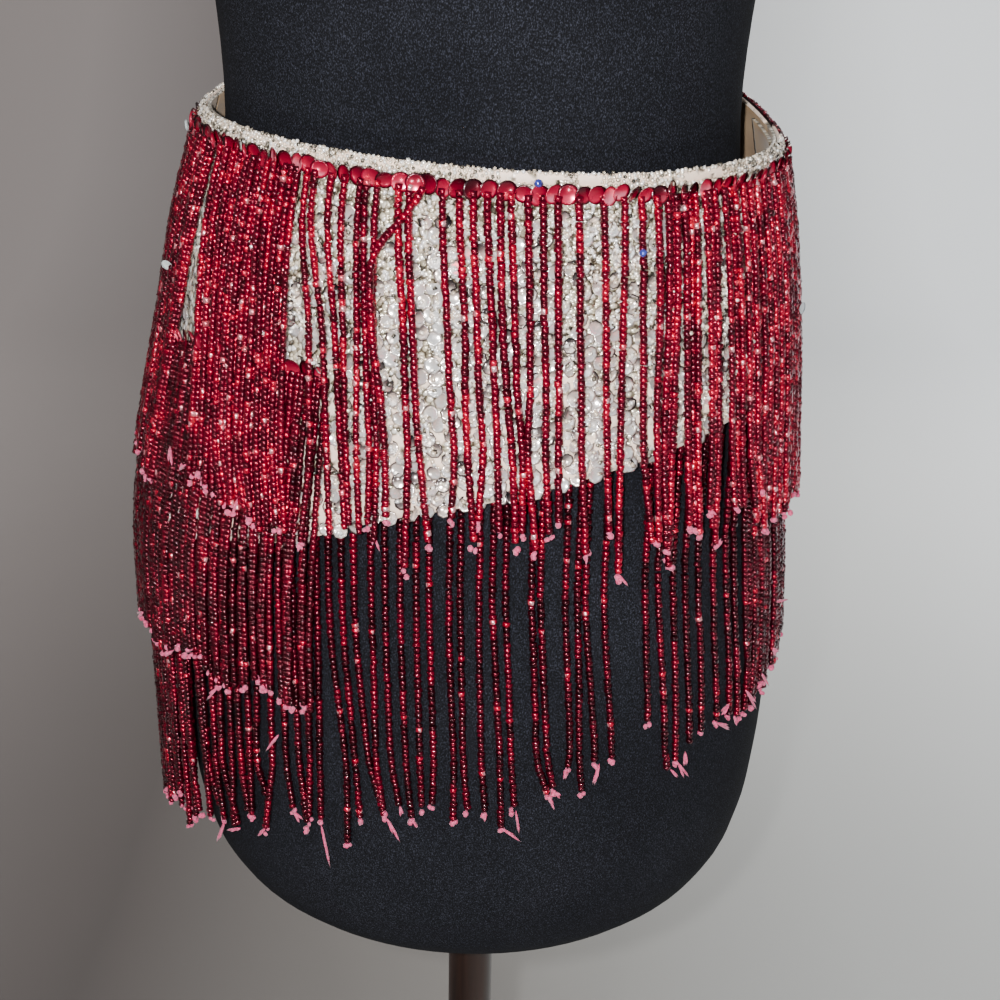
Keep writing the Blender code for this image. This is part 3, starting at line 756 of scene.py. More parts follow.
def foot(metal):
    """The heavy round foot, dished up to its hub"""
    profile = ((0, 0), (FOOT_RADIUS - 2 * MM, 0), (FOOT_RADIUS, 2 * MM), (FOOT_RADIUS, FOOT_EDGE - 3 * MM),
               (FOOT_RADIUS - 1.2 * MM, FOOT_EDGE - 1 * MM), (FOOT_RADIUS - 4 * MM, FOOT_EDGE),
               (FOOT_HUB_RADIUS * 1.6, FOOT_EDGE * 1.7), (FOOT_HUB_RADIUS * 1.2, FOOT_EDGE * 1.9),
               (FOOT_HUB_RADIUS, FOOT_EDGE * 2.2), (FOOT_HUB_RADIUS * 0.85, FOOT_HUB_HEIGHT - 2 * MM),
               (FOOT_HUB_RADIUS * 0.8, FOOT_HUB_HEIGHT), (0, FOOT_HUB_HEIGHT))
    spun("foot_plate", profile, 128, "stand_metal", metal, ("foot",))


def stand(metal, wood):
    """Neck cap, collar, pole and foot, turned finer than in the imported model"""
    neck_cap(wood)
    collar(metal)
    pole(metal)
    foot(metal)


def cloth_wave(turn, drop):
    """Soft uneven swells of the worn cloth, deepest low down. drop is 0 at the upper edge and 1 at the hem"""
    swell = sum(size * math.exp(-((turn - middle) / width) ** 2) for middle, width, size in FOLDS)
    return swell * drop * 0.7 * MM


def panel(name, first, last, lower, upper, outer_ease, replaced, satin, lining, wave):
    """A cloth panel as a thin shell: satin outside, lining inside"""
    columns = round((last - first) * 0.8)

    def on_belt(u, v):
        turn = first + (last - first) * u
        low, high = float(lower(turn)), float(upper(turn))
        height = low + (high - low) * v
        ease = outer_ease + (cloth_wave(turn, 1 - v) if wave else 0.0)
        return around(reach_of(BELT_SIDES, height), turn, height, ease)

    middle = (first + last) / 2
    height = float(upper(middle) - lower(middle))
    width = math.radians(last - first) * CUT_RADIUS
    work = warped_grid(columns, 30, on_belt, width, height)
    piece = link_piece(name, mesh_from(name, work), "cloth", satin, lining, replaced=replaced)
    wall = piece.modifiers.new("cloth_thickness", "SOLIDIFY")
    wall.thickness = CLOTH
    wall.offset = -1.0
    wall.material_offset = 1
    return piece


def flat_size(first, last, lower, upper):
    """Length, greatest height and area of a panel's cut, measured on the belt"""
    turns = np.linspace(first, last, 200)
    middle = (lower(turns) + upper(turns)) / 2
    points = around(reach_of(BELT_SIDES, middle), turns, middle, CLOTH)
    steps = np.linalg.norm(np.diff(points, axis=0), axis=1)
    heights = (upper(turns) - lower(turns)) * 1.04
    return float(steps.sum()) * 1.04, float(heights.max()), float((steps * heights[:-1]).sum())


def panels(satin, lining):
    """Front panel, back panel and the closure's underlap"""
    # name, first and last turn, lower and upper edge, ease of the outer side, replaced node, whether it swells
    cuts = (
        ("belt_panel_front", *FRONT_TURNS, hem_height, top_height, CLOTH, "panel_front", True),
        ("belt_panel_back", *BACK_TURNS, hem_height, top_height, CLOTH, "panel_back", True),
        ("closure_underlap", TAB_FIRST, TAB_LAST, tab_hem, tab_top, -GAP, "closure_tab", False),
    )
    made = []
    for name, first, last, lower, upper, ease, node, wave in cuts:
        piece = panel(name, first, last, lower, upper, ease, (node,), satin, lining, wave)
        width, height, area = flat_size(first, last, lower, upper)
        made.append((piece, width, height, area))
    return made


def unit(vectors):
    """Vectors of length one"""
    return vectors / np.linalg.norm(vectors, axis=-1, keepdims=True)


def axes_along(along, outward, spin, sizes):
    """Axes of small things: the third points along, the first two are spun about it. sizes is (m, 3)"""
    along = unit(along)
    side = unit(outward - (outward * along).sum(-1, keepdims=True) * along)
    other = np.cross(along, side)
    turned = side * np.cos(spin)[:, None] + other * np.sin(spin)[:, None]
    crossed = np.cross(along, turned)
    return np.stack((turned * sizes[:, :1], crossed * sizes[:, 1:2], along * sizes[:, 2:]), axis=1)


def pattern_from(work, shade):
    """A small closed shape to repeat, with painted shade and highlight that shift the tone at each vertex"""
    work.verts.ensure_lookup_table()
    points = np.array([vert.co[:] for vert in work.verts])
    faces = [[vert.index for vert in face.verts] for face in work.faces]
    shades = np.array([shade(vert.co) for vert in work.verts])
    work.free()
    return Pattern(points, faces, shades)


def streak(place):
    """Shift of tone round a bead: two painted highlight streaks where its silver lining would reflect, and
    painted shade at its holes
    """
    # painted shade: the holes at both ends of the bead are darkened
    if math.hypot(place.x, place.y) < 0.01:
        return -0.45
    # painted highlight: two light streaks round the bead stand for the silver lining's reflection
    return 0.15 * math.cos(2 * math.atan2(place.y, place.x))


def bead_pattern(sides, shoulder):
    """A seed bead of length and width one: a short barrel, with painted shade towards its holes"""
    work = bmesh.new()
    bmesh.ops.create_uvsphere(work, u_segments=sides, v_segments=3, radius=0.5)
    for vert in work.verts:
        across = math.hypot(vert.co.x, vert.co.y)
        if across > 0.01:
            vert.co = (vert.co.x * 0.5 / across, vert.co.y * 0.5 / across, math.copysign(shoulder, vert.co.z))
    return pattern_from(work, streak)


def cut_bead_pattern(sides):
    """A bead cut square at both ends, for the back and for the panels"""
    work = bmesh.new()
    bmesh.ops.create_cone(work, cap_ends=True, segments=sides, radius1=0.5, radius2=0.5, depth=1.0)
    return pattern_from(work, streak)


def sequin_pattern(sides, rim, middle, slope=0.0):
    """A cupped sequin of width one, whose rim stands up towards its third axis and carries painted shade,
    darkest at the top.

    rim is how deep that painted shade goes, middle lifts the cup as a painted highlight, and slope is how much
    darker the cup gets towards its top, a painted reflection of what is above it"""
    work = bmesh.new()
    bmesh.ops.create_cone(work, cap_ends=True, segments=sides, radius1=0.36, radius2=0.5, depth=0.12)
    top = max(work.faces, key=lambda face: face.calc_center_median().z)
    bmesh.ops.inset_region(work, faces=[top], thickness=0.15, depth=-0.08)

    def painted_cup_shade(place):
        reach = math.hypot(place.x, place.y)
        # painted shade on the rim, darkest at its top, and a painted highlight and reflection over the cup
        if reach < 0.45:
            return middle - slope * place.x / max(reach, 0.01)
        return rim * (0.4 + 0.9 * max(0.0, place.x / reach))

    return pattern_from(work, painted_cup_shade)


def joined(name, pattern, places, slot, finish, smooth=True, replaced=()):
    """One piece made of many copies of a small pattern"""
    count = len(places.tones)
    points = np.einsum("vk,mkc->mvc", pattern.points, places.axes) + places.centres[:, None, :]
    face_corners = np.concatenate([np.array(face) for face in pattern.faces])
    face_sizes = np.array([len(face) for face in pattern.faces])
    face_starts = np.concatenate(([0], np.cumsum(face_sizes)[:-1]))
    copies = np.arange(count)[:, None]
    corners = (face_corners[None, :] + copies * len(pattern.points)).ravel()
    starts = (face_starts[None, :] + copies * len(face_corners)).ravel()
    mesh = bpy.data.meshes.new(name)
    mesh.vertices.add(count * len(pattern.points))
    mesh.vertices.foreach_set("co", points.astype(np.float32).ravel())
    mesh.loops.add(len(corners))
    mesh.loops.foreach_set("vertex_index", corners.astype(np.int32))
    mesh.polygons.add(len(starts))
    mesh.polygons.foreach_set("loop_start", starts.astype(np.int32))
    mesh.update(calc_edges=True)
    # each copy's tone plus the painted shade and highlight of its pattern
    tones = np.clip(places.tones[:, None] + pattern.shades[None, :], 0, 1)
    mesh.attributes.new("tone", "FLOAT", "POINT").data.foreach_set("value", tones.astype(np.float32).ravel())
    return link_piece(name, mesh, slot, finish, smooth=smooth, replaced=replaced)


def gathered(parts):
    """Many lots of places as one"""
    return Places(*(np.concatenate([part[index] for part in parts]) for index in range(3)))


def outward_of(points):
    """Level directions straight away from the form's axis"""
    flat = points * np.array((1.0, 1.0, 0.0))
    return unit(flat)


def strand_line(surface, stations, ease):
    """Points a millimetre apart down a strand that hangs through (turn, height) stations on a surface"""
    turns = np.array([station[0] for station in stations])
    heights = np.array([station[1] for station in stations])
    steps = np.arange(heights[0], heights[-1], -1.0 * MM)
    line = np.interp(-steps, -heights, turns)
    padded = np.pad(line, 9, mode="edge")
    line = np.convolve(padded, np.ones(19) / 19, mode="valid")
    return around(surface(steps, np.full(len(steps), turns[0])), line, steps, ease)


def string_beads(points, width, pitch, draw, runs):
    """Beads strung along a line of points, with tones that change in runs"""
    lengths = np.concatenate(([0], np.cumsum(np.linalg.norm(np.diff(points, axis=0), axis=1))))
    count = max(2, int(lengths[-1] / pitch))
    stops = (np.arange(count) + 0.5) * pitch
    centres = np.stack([np.interp(stops, lengths, points[:, axis]) for axis in range(3)], axis=1)
    ahead = np.stack([np.interp(stops + pitch / 2, lengths, points[:, axis]) for axis in range(3)], axis=1)
    behind = np.stack([np.interp(stops - pitch / 2, lengths, points[:, axis]) for axis in range(3)], axis=1)
    along = ahead - behind + draw.normal(0, 0.16 * pitch, (count, 3))
    widths = width * draw.uniform(0.90, 1.06, count)
    sizes = np.stack((widths, widths, pitch * draw.uniform(1.06, 1.15, count)), axis=1)
    axes = axes_along(along, outward_of(centres), draw.uniform(0, 2 * math.pi, count), sizes)
    tones = run_tones(count, draw, runs)
    centres = centres + draw.normal(0, 0.03 * width, (count, 3))
    return Places(centres, axes, tones)


def run_tones(count, draw, runs):
    """Tones that stay near one level for a few beads, with rare painted glints"""
    dark, bright, painted_glint_share = runs
    tones = np.zeros(count)
    place = 0
    while place < count:
        stretch = int(draw.integers(2, 9))
        level = draw.choice((dark, (dark + bright) / 2, bright), p=(0.42, 0.33, 0.25))
        tones[place:place + stretch] = level
        place += stretch
    tones += draw.normal(0, 0.06, count)
    # painted glints: a few beads are lifted to the pink-white end of the ramp
    painted_glints = draw.random(count) < painted_glint_share
    tones[painted_glints] = draw.uniform(0.80, 1.0, int(painted_glints.sum()))
    return np.clip(tones, 0.05, 1.0)


def wandering(surface, turn, root, length, ease, lean, draw):
    """A strand left to hang by itself: nearly straight, with a slight lean and bend"""
    reach = around(surface(np.array([root - length / 2]), turn), turn, root - length / 2)
    radius = float(np.linalg.norm(reach.ravel()[:2]))
    per_mm = math.degrees(MM / radius)
    shares = np.array((0.0, 0.2, 0.4, 0.6, 0.8, 0.93, 1.0))
    bends = np.concatenate(([0.0], draw.normal(0, 0.5, len(shares) - 1))) * shares
    turns = turn + (lean * shares + bends) * per_mm
    return strand_line(surface, list(zip(turns, root - length * shares)), ease)


def seen_strand(pixels, surface, root, ease):
    """A strand through pixels of the photograph, from its root row down"""
    stations = [seen_at(x, y, surface, ease) for x, y in pixels]
    first = stations[0][0]
    return strand_line(surface, [(first, float(root(first)))] + stations, ease)


def knots_at(points, share, lobes, draw):
    """A lumpy pink knot of a few lobes below the last point of a share of the strands"""
    shown = [line[-1] for line in points if draw.random() < share]
    ends = np.repeat(np.array(shown), lobes, axis=0)
    count = len(ends)
    ends = ends + draw.normal(0, 0.7, (count, 3)) * MM + np.array((0, 0, -0.9 * MM))
    down = np.tile((0.0, 0.0, -1.0), (count, 1)) + draw.normal(0, 0.6, (count, 3))
    sizes = np.stack((draw.uniform(1.8, 3.0, count), draw.uniform(1.8, 3.0, count),
                      draw.uniform(2.2, 3.8, count)), axis=1) * MM
    axes = axes_along(down, outward_of(ends), draw.uniform(0, 6, count), sizes)
    return Places(ends, axes, np.full(count, 0.5))


def tails(draw):
    """Loose thread ends that the photograph shows, each lying on the strands round it"""
    made = []
    for x, y, tip_x, tip_y in TAILS:
        surface, ease = (hung, 2.0 * MM) if y > 700 else (laid, 5.5 * MM)
        start_turn, start_height = seen_at(x, y, surface, ease)
        tip_turn, tip_height = seen_at(tip_x, tip_y, surface, ease)
        start = around(surface(start_height, start_turn), start_turn, start_height, ease)
        tip = around(surface(tip_height, tip_turn), tip_turn, tip_height, ease + 1.0 * MM)
        # the cut thread frays into a few plies that spread towards their tips
        for reach in (1.0, 0.85, 0.6):
            end = start + (tip - start) * reach + draw.normal(0, 0.7, 3) * MM
            middle = (start + end) / 2
            length = float(np.linalg.norm(end - start)) + 1.0 * MM
            sizes = np.array([(1.3 * MM, 1.1 * MM, length)])
            axes = axes_along((end - start)[None], outward_of(middle[None]), np.zeros(1), sizes)
            made.append(Places(middle[None], axes, np.array([0.5])))
    return gathered(made)


def between(entries, low, high):
    """Strands half hidden between close neighbours, for entries whose first x lies in a range"""
    pairs = [pair for pair in zip(entries, entries[1:]) if low <= pair[0][0] and pair[1][0] <= high]
    return [tuple((one + two) / 2 for one, two in zip(*pair)) for pair in pairs]


def first_tier(draw):
    """Strands of the first tier: those read from the photograph, then the crowded ones at both sides"""
    lots = {"left": [], "middle": [], "right": []}
    hidden = between(FIRST_SEEN, 200, 292) + between(FIRST_SEEN, 668, 760)[::2]
    for index, entry in enumerate(FIRST_SEEN + tuple(hidden)):
        pixels = list(zip(entry[:4], FIRST_ROWS)) + [(entry[4], entry[5])]
        ease = (SEEN_EASE if index < len(FIRST_SEEN) else HIDDEN_EASE) + draw.uniform(-0.4, 0.6) * MM
        line = seen_strand(pixels, laid, under_band, ease)
        side = "left" if entry[0] < 390 else "middle" if entry[0] < 690 else "right"
        lots[side].append(line)
    lots["middle"].append(seen_strand(CROSSING, laid, under_band, CROSSING_EASE))
    left_edge = seen_at(FIRST_SEEN[0][0], FIRST_ROWS[0], laid, 5.6 * MM)[0]
    right_edge = seen_at(FIRST_SEEN[-1][0], FIRST_ROWS[0], laid, 5.6 * MM)[0]
    for index, turn in enumerate(np.arange(LEFT_SEAM + 0.6, left_edge - 3.2, FIRST_STEP_LEFT)):
        # beside the open slit the strands lean away from it
        lean = -11.0 * math.exp(-((turn - left_edge + 3.2) / 5) ** 2)
        lots["left"].append(loose_first(turn + draw.normal(0, 0.15), index, draw, lean))
    for index, turn in enumerate(np.arange(right_edge + 1.2, CLOSURE, FIRST_STEP_RIGHT)):
        lots["right"].append(loose_first(turn + draw.normal(0, 0.15), index, draw))
    return lots


def loose_first(turn, index, draw, lean=0.0):
    """One crowded strand of the first tier"""
    ease = (4.6 + 1.5 * (index % 2)) * MM + draw.uniform(-0.3, 0.3) * MM
    length = FIRST_LENGTH + draw.uniform(-LENGTH_SPREAD, LENGTH_SPREAD)
    return wandering(laid, turn, float(under_band(turn)), length, ease, lean + draw.normal(0, 1.5), draw)


def first_tier_back(draw):
    """Strands of the first tier round the back"""
    lines = []
    for index, turn in enumerate(np.arange(CLOSURE + 0.6, RIGHT_ROUND - 0.6, FIRST_STEP_BACK)):
        lines.append(loose_first(turn + draw.normal(0, 0.25), index, draw))
    return lines


def second_tier(draw):
    """Strands of the second tier, under the first at picture left, down to the outline that its knots make"""
    ease = SECOND_EASE
    ends = sorted(seen_at(x, y, laid, ease) for x, y in SECOND_ENDS)
    lines = []
    for turn in np.arange(LEFT_SEAM + 0.6, SECOND_ROW_END, SECOND_STEP):
        turn += draw.normal(0, 0.2)
        end = float(np.interp(turn, *zip(*ends))) + draw.normal(0, 2.2) * MM
        root = float(second_row(turn)) - 1.5 * MM
        lines.append(wandering(laid, turn, root, root - end, ease + draw.uniform(-0.3, 0.5) * MM,
                               draw.normal(0, 1.2), draw))
    return lines


def third_tier(draw):
    """Strands of the third tier at the front: those read from the photograph, then the crowded ones"""
    lines = []
    for entry in THIRD_SEEN:
        pixels = list(zip(entry[:3], THIRD_ROWS)) + [(entry[3], entry[4])]
        lines.append(seen_strand(pixels, hung, third_root, draw.uniform(0.0, 0.8) * MM))
    lines += [seen_strand(pixels, hung, third_root, 1.5 * MM) for pixels in THIRD_LEFT]
    left_edge = seen_at(THIRD_SEEN[0][0], THIRD_ROWS[0], hung, 0.0)[0]
    right_edge = seen_at(THIRD_SEEN[-1][0], THIRD_ROWS[0], hung, 0.0)[0]
    at_left = np.arange(LEFT_SEAM + 0.8, left_edge - 1.2, THIRD_STEP_FRONT)
    at_right = np.arange(right_edge + 1.2, CLOSURE, THIRD_STEP_FRONT)
    for index, turn in enumerate(np.concatenate((at_left, at_right))):
        lines.append(loose_third(turn + draw.normal(0, 0.2), index, draw))
    return lines


def loose_third(turn, index, draw):
    """One crowded strand of the third tier"""
    length = THIRD_LENGTH + draw.uniform(-LENGTH_SPREAD, LENGTH_SPREAD)
    ease = (1.3 * (index % 2)) * MM + draw.uniform(0.0, 0.5) * MM
    root = float(third_root(turn))
    return wandering(hung, turn, root, length, ease, draw.normal(0, 2.5), draw)


def third_tier_back(draw):
    """Strands of the third tier round the back"""
    lines = []
    for index, turn in enumerate(np.arange(CLOSURE + 0.6, RIGHT_ROUND - 0.6, THIRD_STEP_BACK)):
        lines.append(loose_third(turn + draw.normal(0, 0.25), index, draw))
    return lines


def fringe(ruby, thread):
    """All the hanging strands, tier by tier, and their knots"""
    square, rounded, cut = bead_pattern(5, 0.44), bead_pattern(5, 0.33), cut_bead_pattern(5)
    finer = bead_pattern(6, 0.44)
    draw = np.random.default_rng(SEED)
    front = first_tier(draw)
    # name, strands, bead, its width, tones (dark, bright, share of painted glints), share of pink knots,
    # replaced nodes
    lots = (
        ("strands_1_left", front["left"], square, RED_BEAD, (0.44, 0.70, 0.10), 0.35, ("fringe_1_front",)),
        ("strands_1_middle", front["middle"], finer, WIDE_RED_BEAD, (0.46, 0.71, 0.04), 0.9, ()),
        ("strands_1_right", front["right"], square, RED_BEAD, (0.45, 0.78, 0.12), 0.6, ()),
        ("strands_1_back", first_tier_back(draw), cut, RED_BEAD, (0.40, 0.70, 0.04), 0.5, ("fringe_1_back",)),
        # the second and third tiers take darker tones than the first: painted shade under and below the tiers
        # above
        ("strands_2", second_tier(draw), square, RED_BEAD, (0.27, 0.54, 0.03), 0.6, ("fringe_2",)),
        ("strands_3_front", third_tier(draw), rounded, WIDE_RED_BEAD, (0.28, 0.58, 0.03), 0.9,
         ("fringe_3_front",)),
        ("strands_3_back", third_tier_back(draw), cut, RED_BEAD, (0.30, 0.58, 0.02), 0.6, ("fringe_3_back",)),
    )
    knots = []
    for name, lines, pattern, width, runs, share, replaced in lots:
        beads = gathered([string_beads(line, width, RED_PITCH, draw, runs) for line in lines])
        joined(name, pattern, beads, "red_beads", ruby, smooth=False, replaced=replaced)
        knots.append(knots_at(lines, share, 1 if name.endswith("back") else 2, draw))
    joined("thread_knots", bead_pattern(5, 0.25), gathered(knots + [tails(draw)]), "thread", thread)


def rolled_band(name, first, last, slot, finish, replaced):
    """The band's rolled core: a flattened tube along the upper edge"""

    def on_band(u, v):
        turn = first + (last - first) * u
        angle = 2 * math.pi * v
        middle = float(top_height(turn)) + BAND_RISE - BAND_HEIGHT / 2
        height = middle + math.sin(angle) * (BAND_HEIGHT / 2 - 0.6 * MM)
        ease = CLOTH + GAP + 1.0 * MM + math.cos(angle) * 0.9 * MM
        return around(reach_of(BELT_SIDES, height), turn, height, ease)

    return edge_tube(name, first, last, on_band, slot, finish, replaced)


def edge_piping(name, first, last, slot, finish):
    """A thin pale piping inside the upper edge of the back band"""

    def on_piping(u, v):
        turn = first + (last - first) * u
        angle = 2 * math.pi * v
        height = float(top_height(turn)) + math.sin(angle) * 0.9 * MM
        return around(reach_of(BELT_SIDES, height), turn, height, 0.3 * MM + math.cos(angle) * 0.9 * MM)

    return edge_tube(name, first, last, on_piping, slot, finish, ())


def edge_tube(name, first, last, place, slot, finish, replaced):
    """A closed tube between two turns, along a place(u, v) that goes once round it in v"""
    work = warped_grid(round((last - first) * 1.2), 12, place, 0.4, BAND_HEIGHT * 2)
    bmesh.ops.remove_doubles(work, verts=work.verts, dist=1e-6)
    bmesh.ops.holes_fill(work, edges=[edge for edge in work.edges if edge.is_boundary], sides=0)
    bmesh.ops.recalc_face_normals(work, faces=work.faces)
    return link_piece(name, mesh_from(name, work), slot, finish, replaced=replaced)


def band_beads(name, first, last, slot, finish, bare, draw):
    """Seed beads sewn in lumpy rows over the band. bare is a list of (first turn, last turn) of gaps"""
    centres, alongs = [], []
    for row, lift in enumerate((-1.0, -0.55, -0.05, 0.45, 0.95)):
        turn = first + 0.4 + 0.3 * (row % 2)
        while turn < last - 0.4:
            middle = float(top_height(turn)) + BAND_RISE - BAND_HEIGHT / 2
            angle = math.radians(lift * 62 + draw.normal(0, 8))
            height = middle + math.sin(angle) * (BAND_HEIGHT / 2 - 0.2 * MM)
            ease = CLOTH + GAP + 1.0 * MM + math.cos(angle) * 1.3 * MM + draw.uniform(-0.2, 0.6) * MM
            here = around(reach_of(BELT_SIDES, height), turn, height, ease)
            there = around(reach_of(BELT_SIDES, height), turn + 1, height, ease)
            skipped = row in (1, 2, 3) and any(low < turn < high for low, high in bare)
            if not skipped:
                centres.append(here)
                alongs.append(there - here + draw.normal(0, 0.6, 3) * np.linalg.norm(there - here))
            turn += float(math.degrees(CLEAR_PITCH / BAND_RADIUS)) * draw.uniform(0.92, 1.12)
    centres = np.array(centres)
    count = len(centres)
    widths = CLEAR_BEAD * draw.uniform(0.9, 1.15, count)
    sizes = np.stack((widths, widths, widths * draw.uniform(0.75, 1.0, count)), axis=1)
    axes = axes_along(np.array(alongs), outward_of(centres), draw.uniform(0, 6, count), sizes)
    tones = np.clip(draw.normal(0.56, 0.34, count), 0.05, 1.0)
    joined(name, bead_pattern(5, 0.3), Places(centres, axes, tones), slot, finish)


def sequin_row(name, first, last, height_at, ease, tone, finish, draw):
    """Overlapping red sequins in a row, each leaning its own way"""
    centres, alongs = [], []
    turn = first + 0.6
    while turn < last - 0.6:
        height = float(height_at(turn)) + draw.normal(0, 0.5) * MM
        here = around(reach_of(BELT_SIDES, height), turn, height, ease + draw.uniform(0, 0.9) * MM)
        outward = outward_of(here[None])[0]
        side = np.array((-outward[1], outward[0], 0.0))
        centres.append(here)
        alongs.append(outward + side * draw.normal(0, 0.30) + np.array((0, 0, -0.10 + draw.normal(0, 0.2))))
        turn += math.degrees(RED_SEQUIN_PITCH / SEQUIN_ROW_RADIUS) * draw.uniform(0.85, 1.15)
    centres = np.array(centres)
    count = len(centres)
    sizes = np.full((count, 3), RED_SEQUIN) * draw.uniform(0.90, 1.05, (count, 1))
    axes = axes_along(np.array(alongs), np.tile((0.0, 0.0, 1.0), (count, 1)), draw.normal(0, 0.5, count), sizes)
    tones = np.clip(draw.normal(tone, 0.19, count), 0.3, 0.95)
    # painted shade on the rims, and a painted highlight and reflection on the cups
    joined(name, sequin_pattern(14, -0.42, 0.04, 0.20), Places(centres, axes, tones), "sequins", finish)


def on_panel(turn, height, ease):
    """A point on the panel's outer side, with its outward and its sideways direction"""
    here = around(reach_of(BELT_SIDES, height), turn, height, CLOTH + ease)
    outward = outward_of(here[None])[0]
    return here, outward, np.array((-outward[1], outward[0], 0.0))


def is_open(turn, height):
    """Whether a place lies in the part of the panel that the fringe leaves open to view"""
    under_second = turn < SECOND_ROW_END + 2 and height < float(second_row(turn)) + 2 * MM
    return OPEN_FIRST < turn < OPEN_LAST and not under_second


def bead_rows(draw):
    """Centres and directions of clear beads sewn in short wandering rows all over the panels"""
    centres, alongs = [], []
    for _row in range(BEAD_ROWS):
        turn = draw.uniform(LEFT_SEAM, RIGHT_ROUND)
        high = float(top_height(turn)) - 6.0 * MM
        height = draw.uniform(float(hem_height(turn)) + 3.0 * MM, high)
        share = (height - float(hem_height(turn))) / (high - float(hem_height(turn)))
        skipped = 0.88 if not is_open(turn, height) else 0.45 - 0.6 * max(0.0, share - 0.3)
        if draw.random() < skipped:
            continue
        heading = draw.uniform(0, 2 * math.pi)
        for _step in range(int(draw.integers(3, 8))):
            heading += draw.normal(0, 0.7)
            turn += math.degrees(CLEAR_PITCH * math.cos(heading) / BEAD_ROW_RADIUS)
            height += CLEAR_PITCH * math.sin(heading)
            if not float(hem_height(turn)) + 3.0 * MM < height < high:
                break
            lift = draw.uniform(0.6, 1.4) if is_open(turn, height) else 0.3
            here, _outward, side = on_panel(turn, height, lift * MM)
            centres.append(here)
            alongs.append(side * math.cos(heading) + np.array((0, 0, math.sin(heading))))
    return centres, alongs


def panel_sequins(draw):
    """Silver sequins, most of them on the panels' lower half, and the clear beads sewn at their middles"""
    discs, faced, centres, alongs = [], [], [], []
    for row in range(SEQUIN_ROWS):
        for turn in np.arange(LEFT_SEAM + 1, RIGHT_ROUND - 1, math.degrees(SILVER_PITCH / PANEL_RADIUS)):
            turn += draw.normal(0, 0.45) + 1.1 * (row % 2)
            low, high = float(hem_height(turn)), float(top_height(turn)) - 8.0 * MM
            height = low + 1.4 * MM + SILVER_PITCH * 0.9 * row + draw.normal(0, 0.7) * MM
            share = (height - low) / (high - low)
            shown = is_open(turn, height)
            kept = (0.96 - 0.90 * max(0.0, share - 0.45)) * (1.0 if shown else 0.75 if share < 0.35 else 0.2)
            if share > 0.92 or draw.random() > kept:
                continue
            here, outward, side = on_panel(turn, height, (draw.uniform(1.0, 1.9) if shown else 0.4) * MM)
            discs.append(here)
            faced.append(outward + np.array((0, 0, 0.18)) + draw.normal(0, 0.22, 3))
            for _bead in range(int(draw.integers(0, 3)) if shown else 0):
                centres.append(here + outward * 0.9 * MM + draw.normal(0, 0.8, 3) * MM)
                alongs.append(side + draw.normal(0, 0.8, 3))
    return discs, faced, centres, alongs


def panel_beading(clear, silver, draw):
    """Silver sequins and clear beads sewn all over the panels"""
    centres, alongs = bead_rows(draw)
    discs, faced, middles, headings = panel_sequins(draw)
    upright = np.tile((0.0, 0.0, 1.0), (len(discs), 1))
    sizes = np.full((len(discs), 3), SILVER_SEQUIN) * draw.uniform(0.88, 1.05, (len(discs), 1))
    axes = axes_along(np.array(faced), upright, draw.normal(0.3, 0.5, len(discs)), sizes)
    tones = np.clip(draw.normal(0.75, 0.30, len(discs)), 0.10, 1.0)
    # painted shade on the rims, and a painted highlight and reflection on the cups
    joined("panel_silver_sequins", sequin_pattern(8, -0.55, 0.06, 0.36), Places(np.array(discs), axes, tones),
           "sequins", silver)
    centres = np.array(centres + middles)
    count = len(centres)
    widths = CLEAR_BEAD * draw.uniform(0.85, 1.1, count)
    sizes = np.stack((widths, widths, widths * 0.95), axis=1)
    axes = axes_along(np.array(alongs + headings), outward_of(centres), draw.uniform(0, 6, count), sizes)
    tones = np.clip(draw.normal(0.68, 0.36, count), 0.03, 1.0)
    joined("panel_clear_beads", cut_bead_pattern(5), Places(centres, axes, tones), "clear_beads", clear)


def stray_pieces(film, blue, draw):
    """Clear paillettes and blue beads that hang among the red strands"""
    # the paillettes carry painted rim shade and a painted highlight, the blue beads painted streaks and hole
    # shade
    cup, barrel = sequin_pattern(12, -0.1, 0.1), bead_pattern(8, 0.35)
    lots = (("clear_paillettes", PAILLETTES, 8.5 * MM, cup, 5.5 * MM, "sequins", film),
            ("blue_beads", BLUE_BEADS, 6.9 * MM, barrel, 3.2 * MM, "clear_beads", blue))
    for name, pixels, ease, pattern, size, slot, finish in lots:
        spots = [seen_at(x, y, laid, ease) for x, y in pixels]
        centres = np.array([around(laid(height, turn), turn, height, ease) for turn, height in spots])
        count = len(centres)
        facing = outward_of(centres) + draw.normal(0, 0.4, (count, 3))
        upright = np.tile((0.0, 0.0, 1.0), (count, 1))
        axes = axes_along(facing, upright, np.zeros(count), np.full((count, 3), size))
        joined(name, pattern, Places(centres, axes, np.full(count, 0.6)), slot, finish)


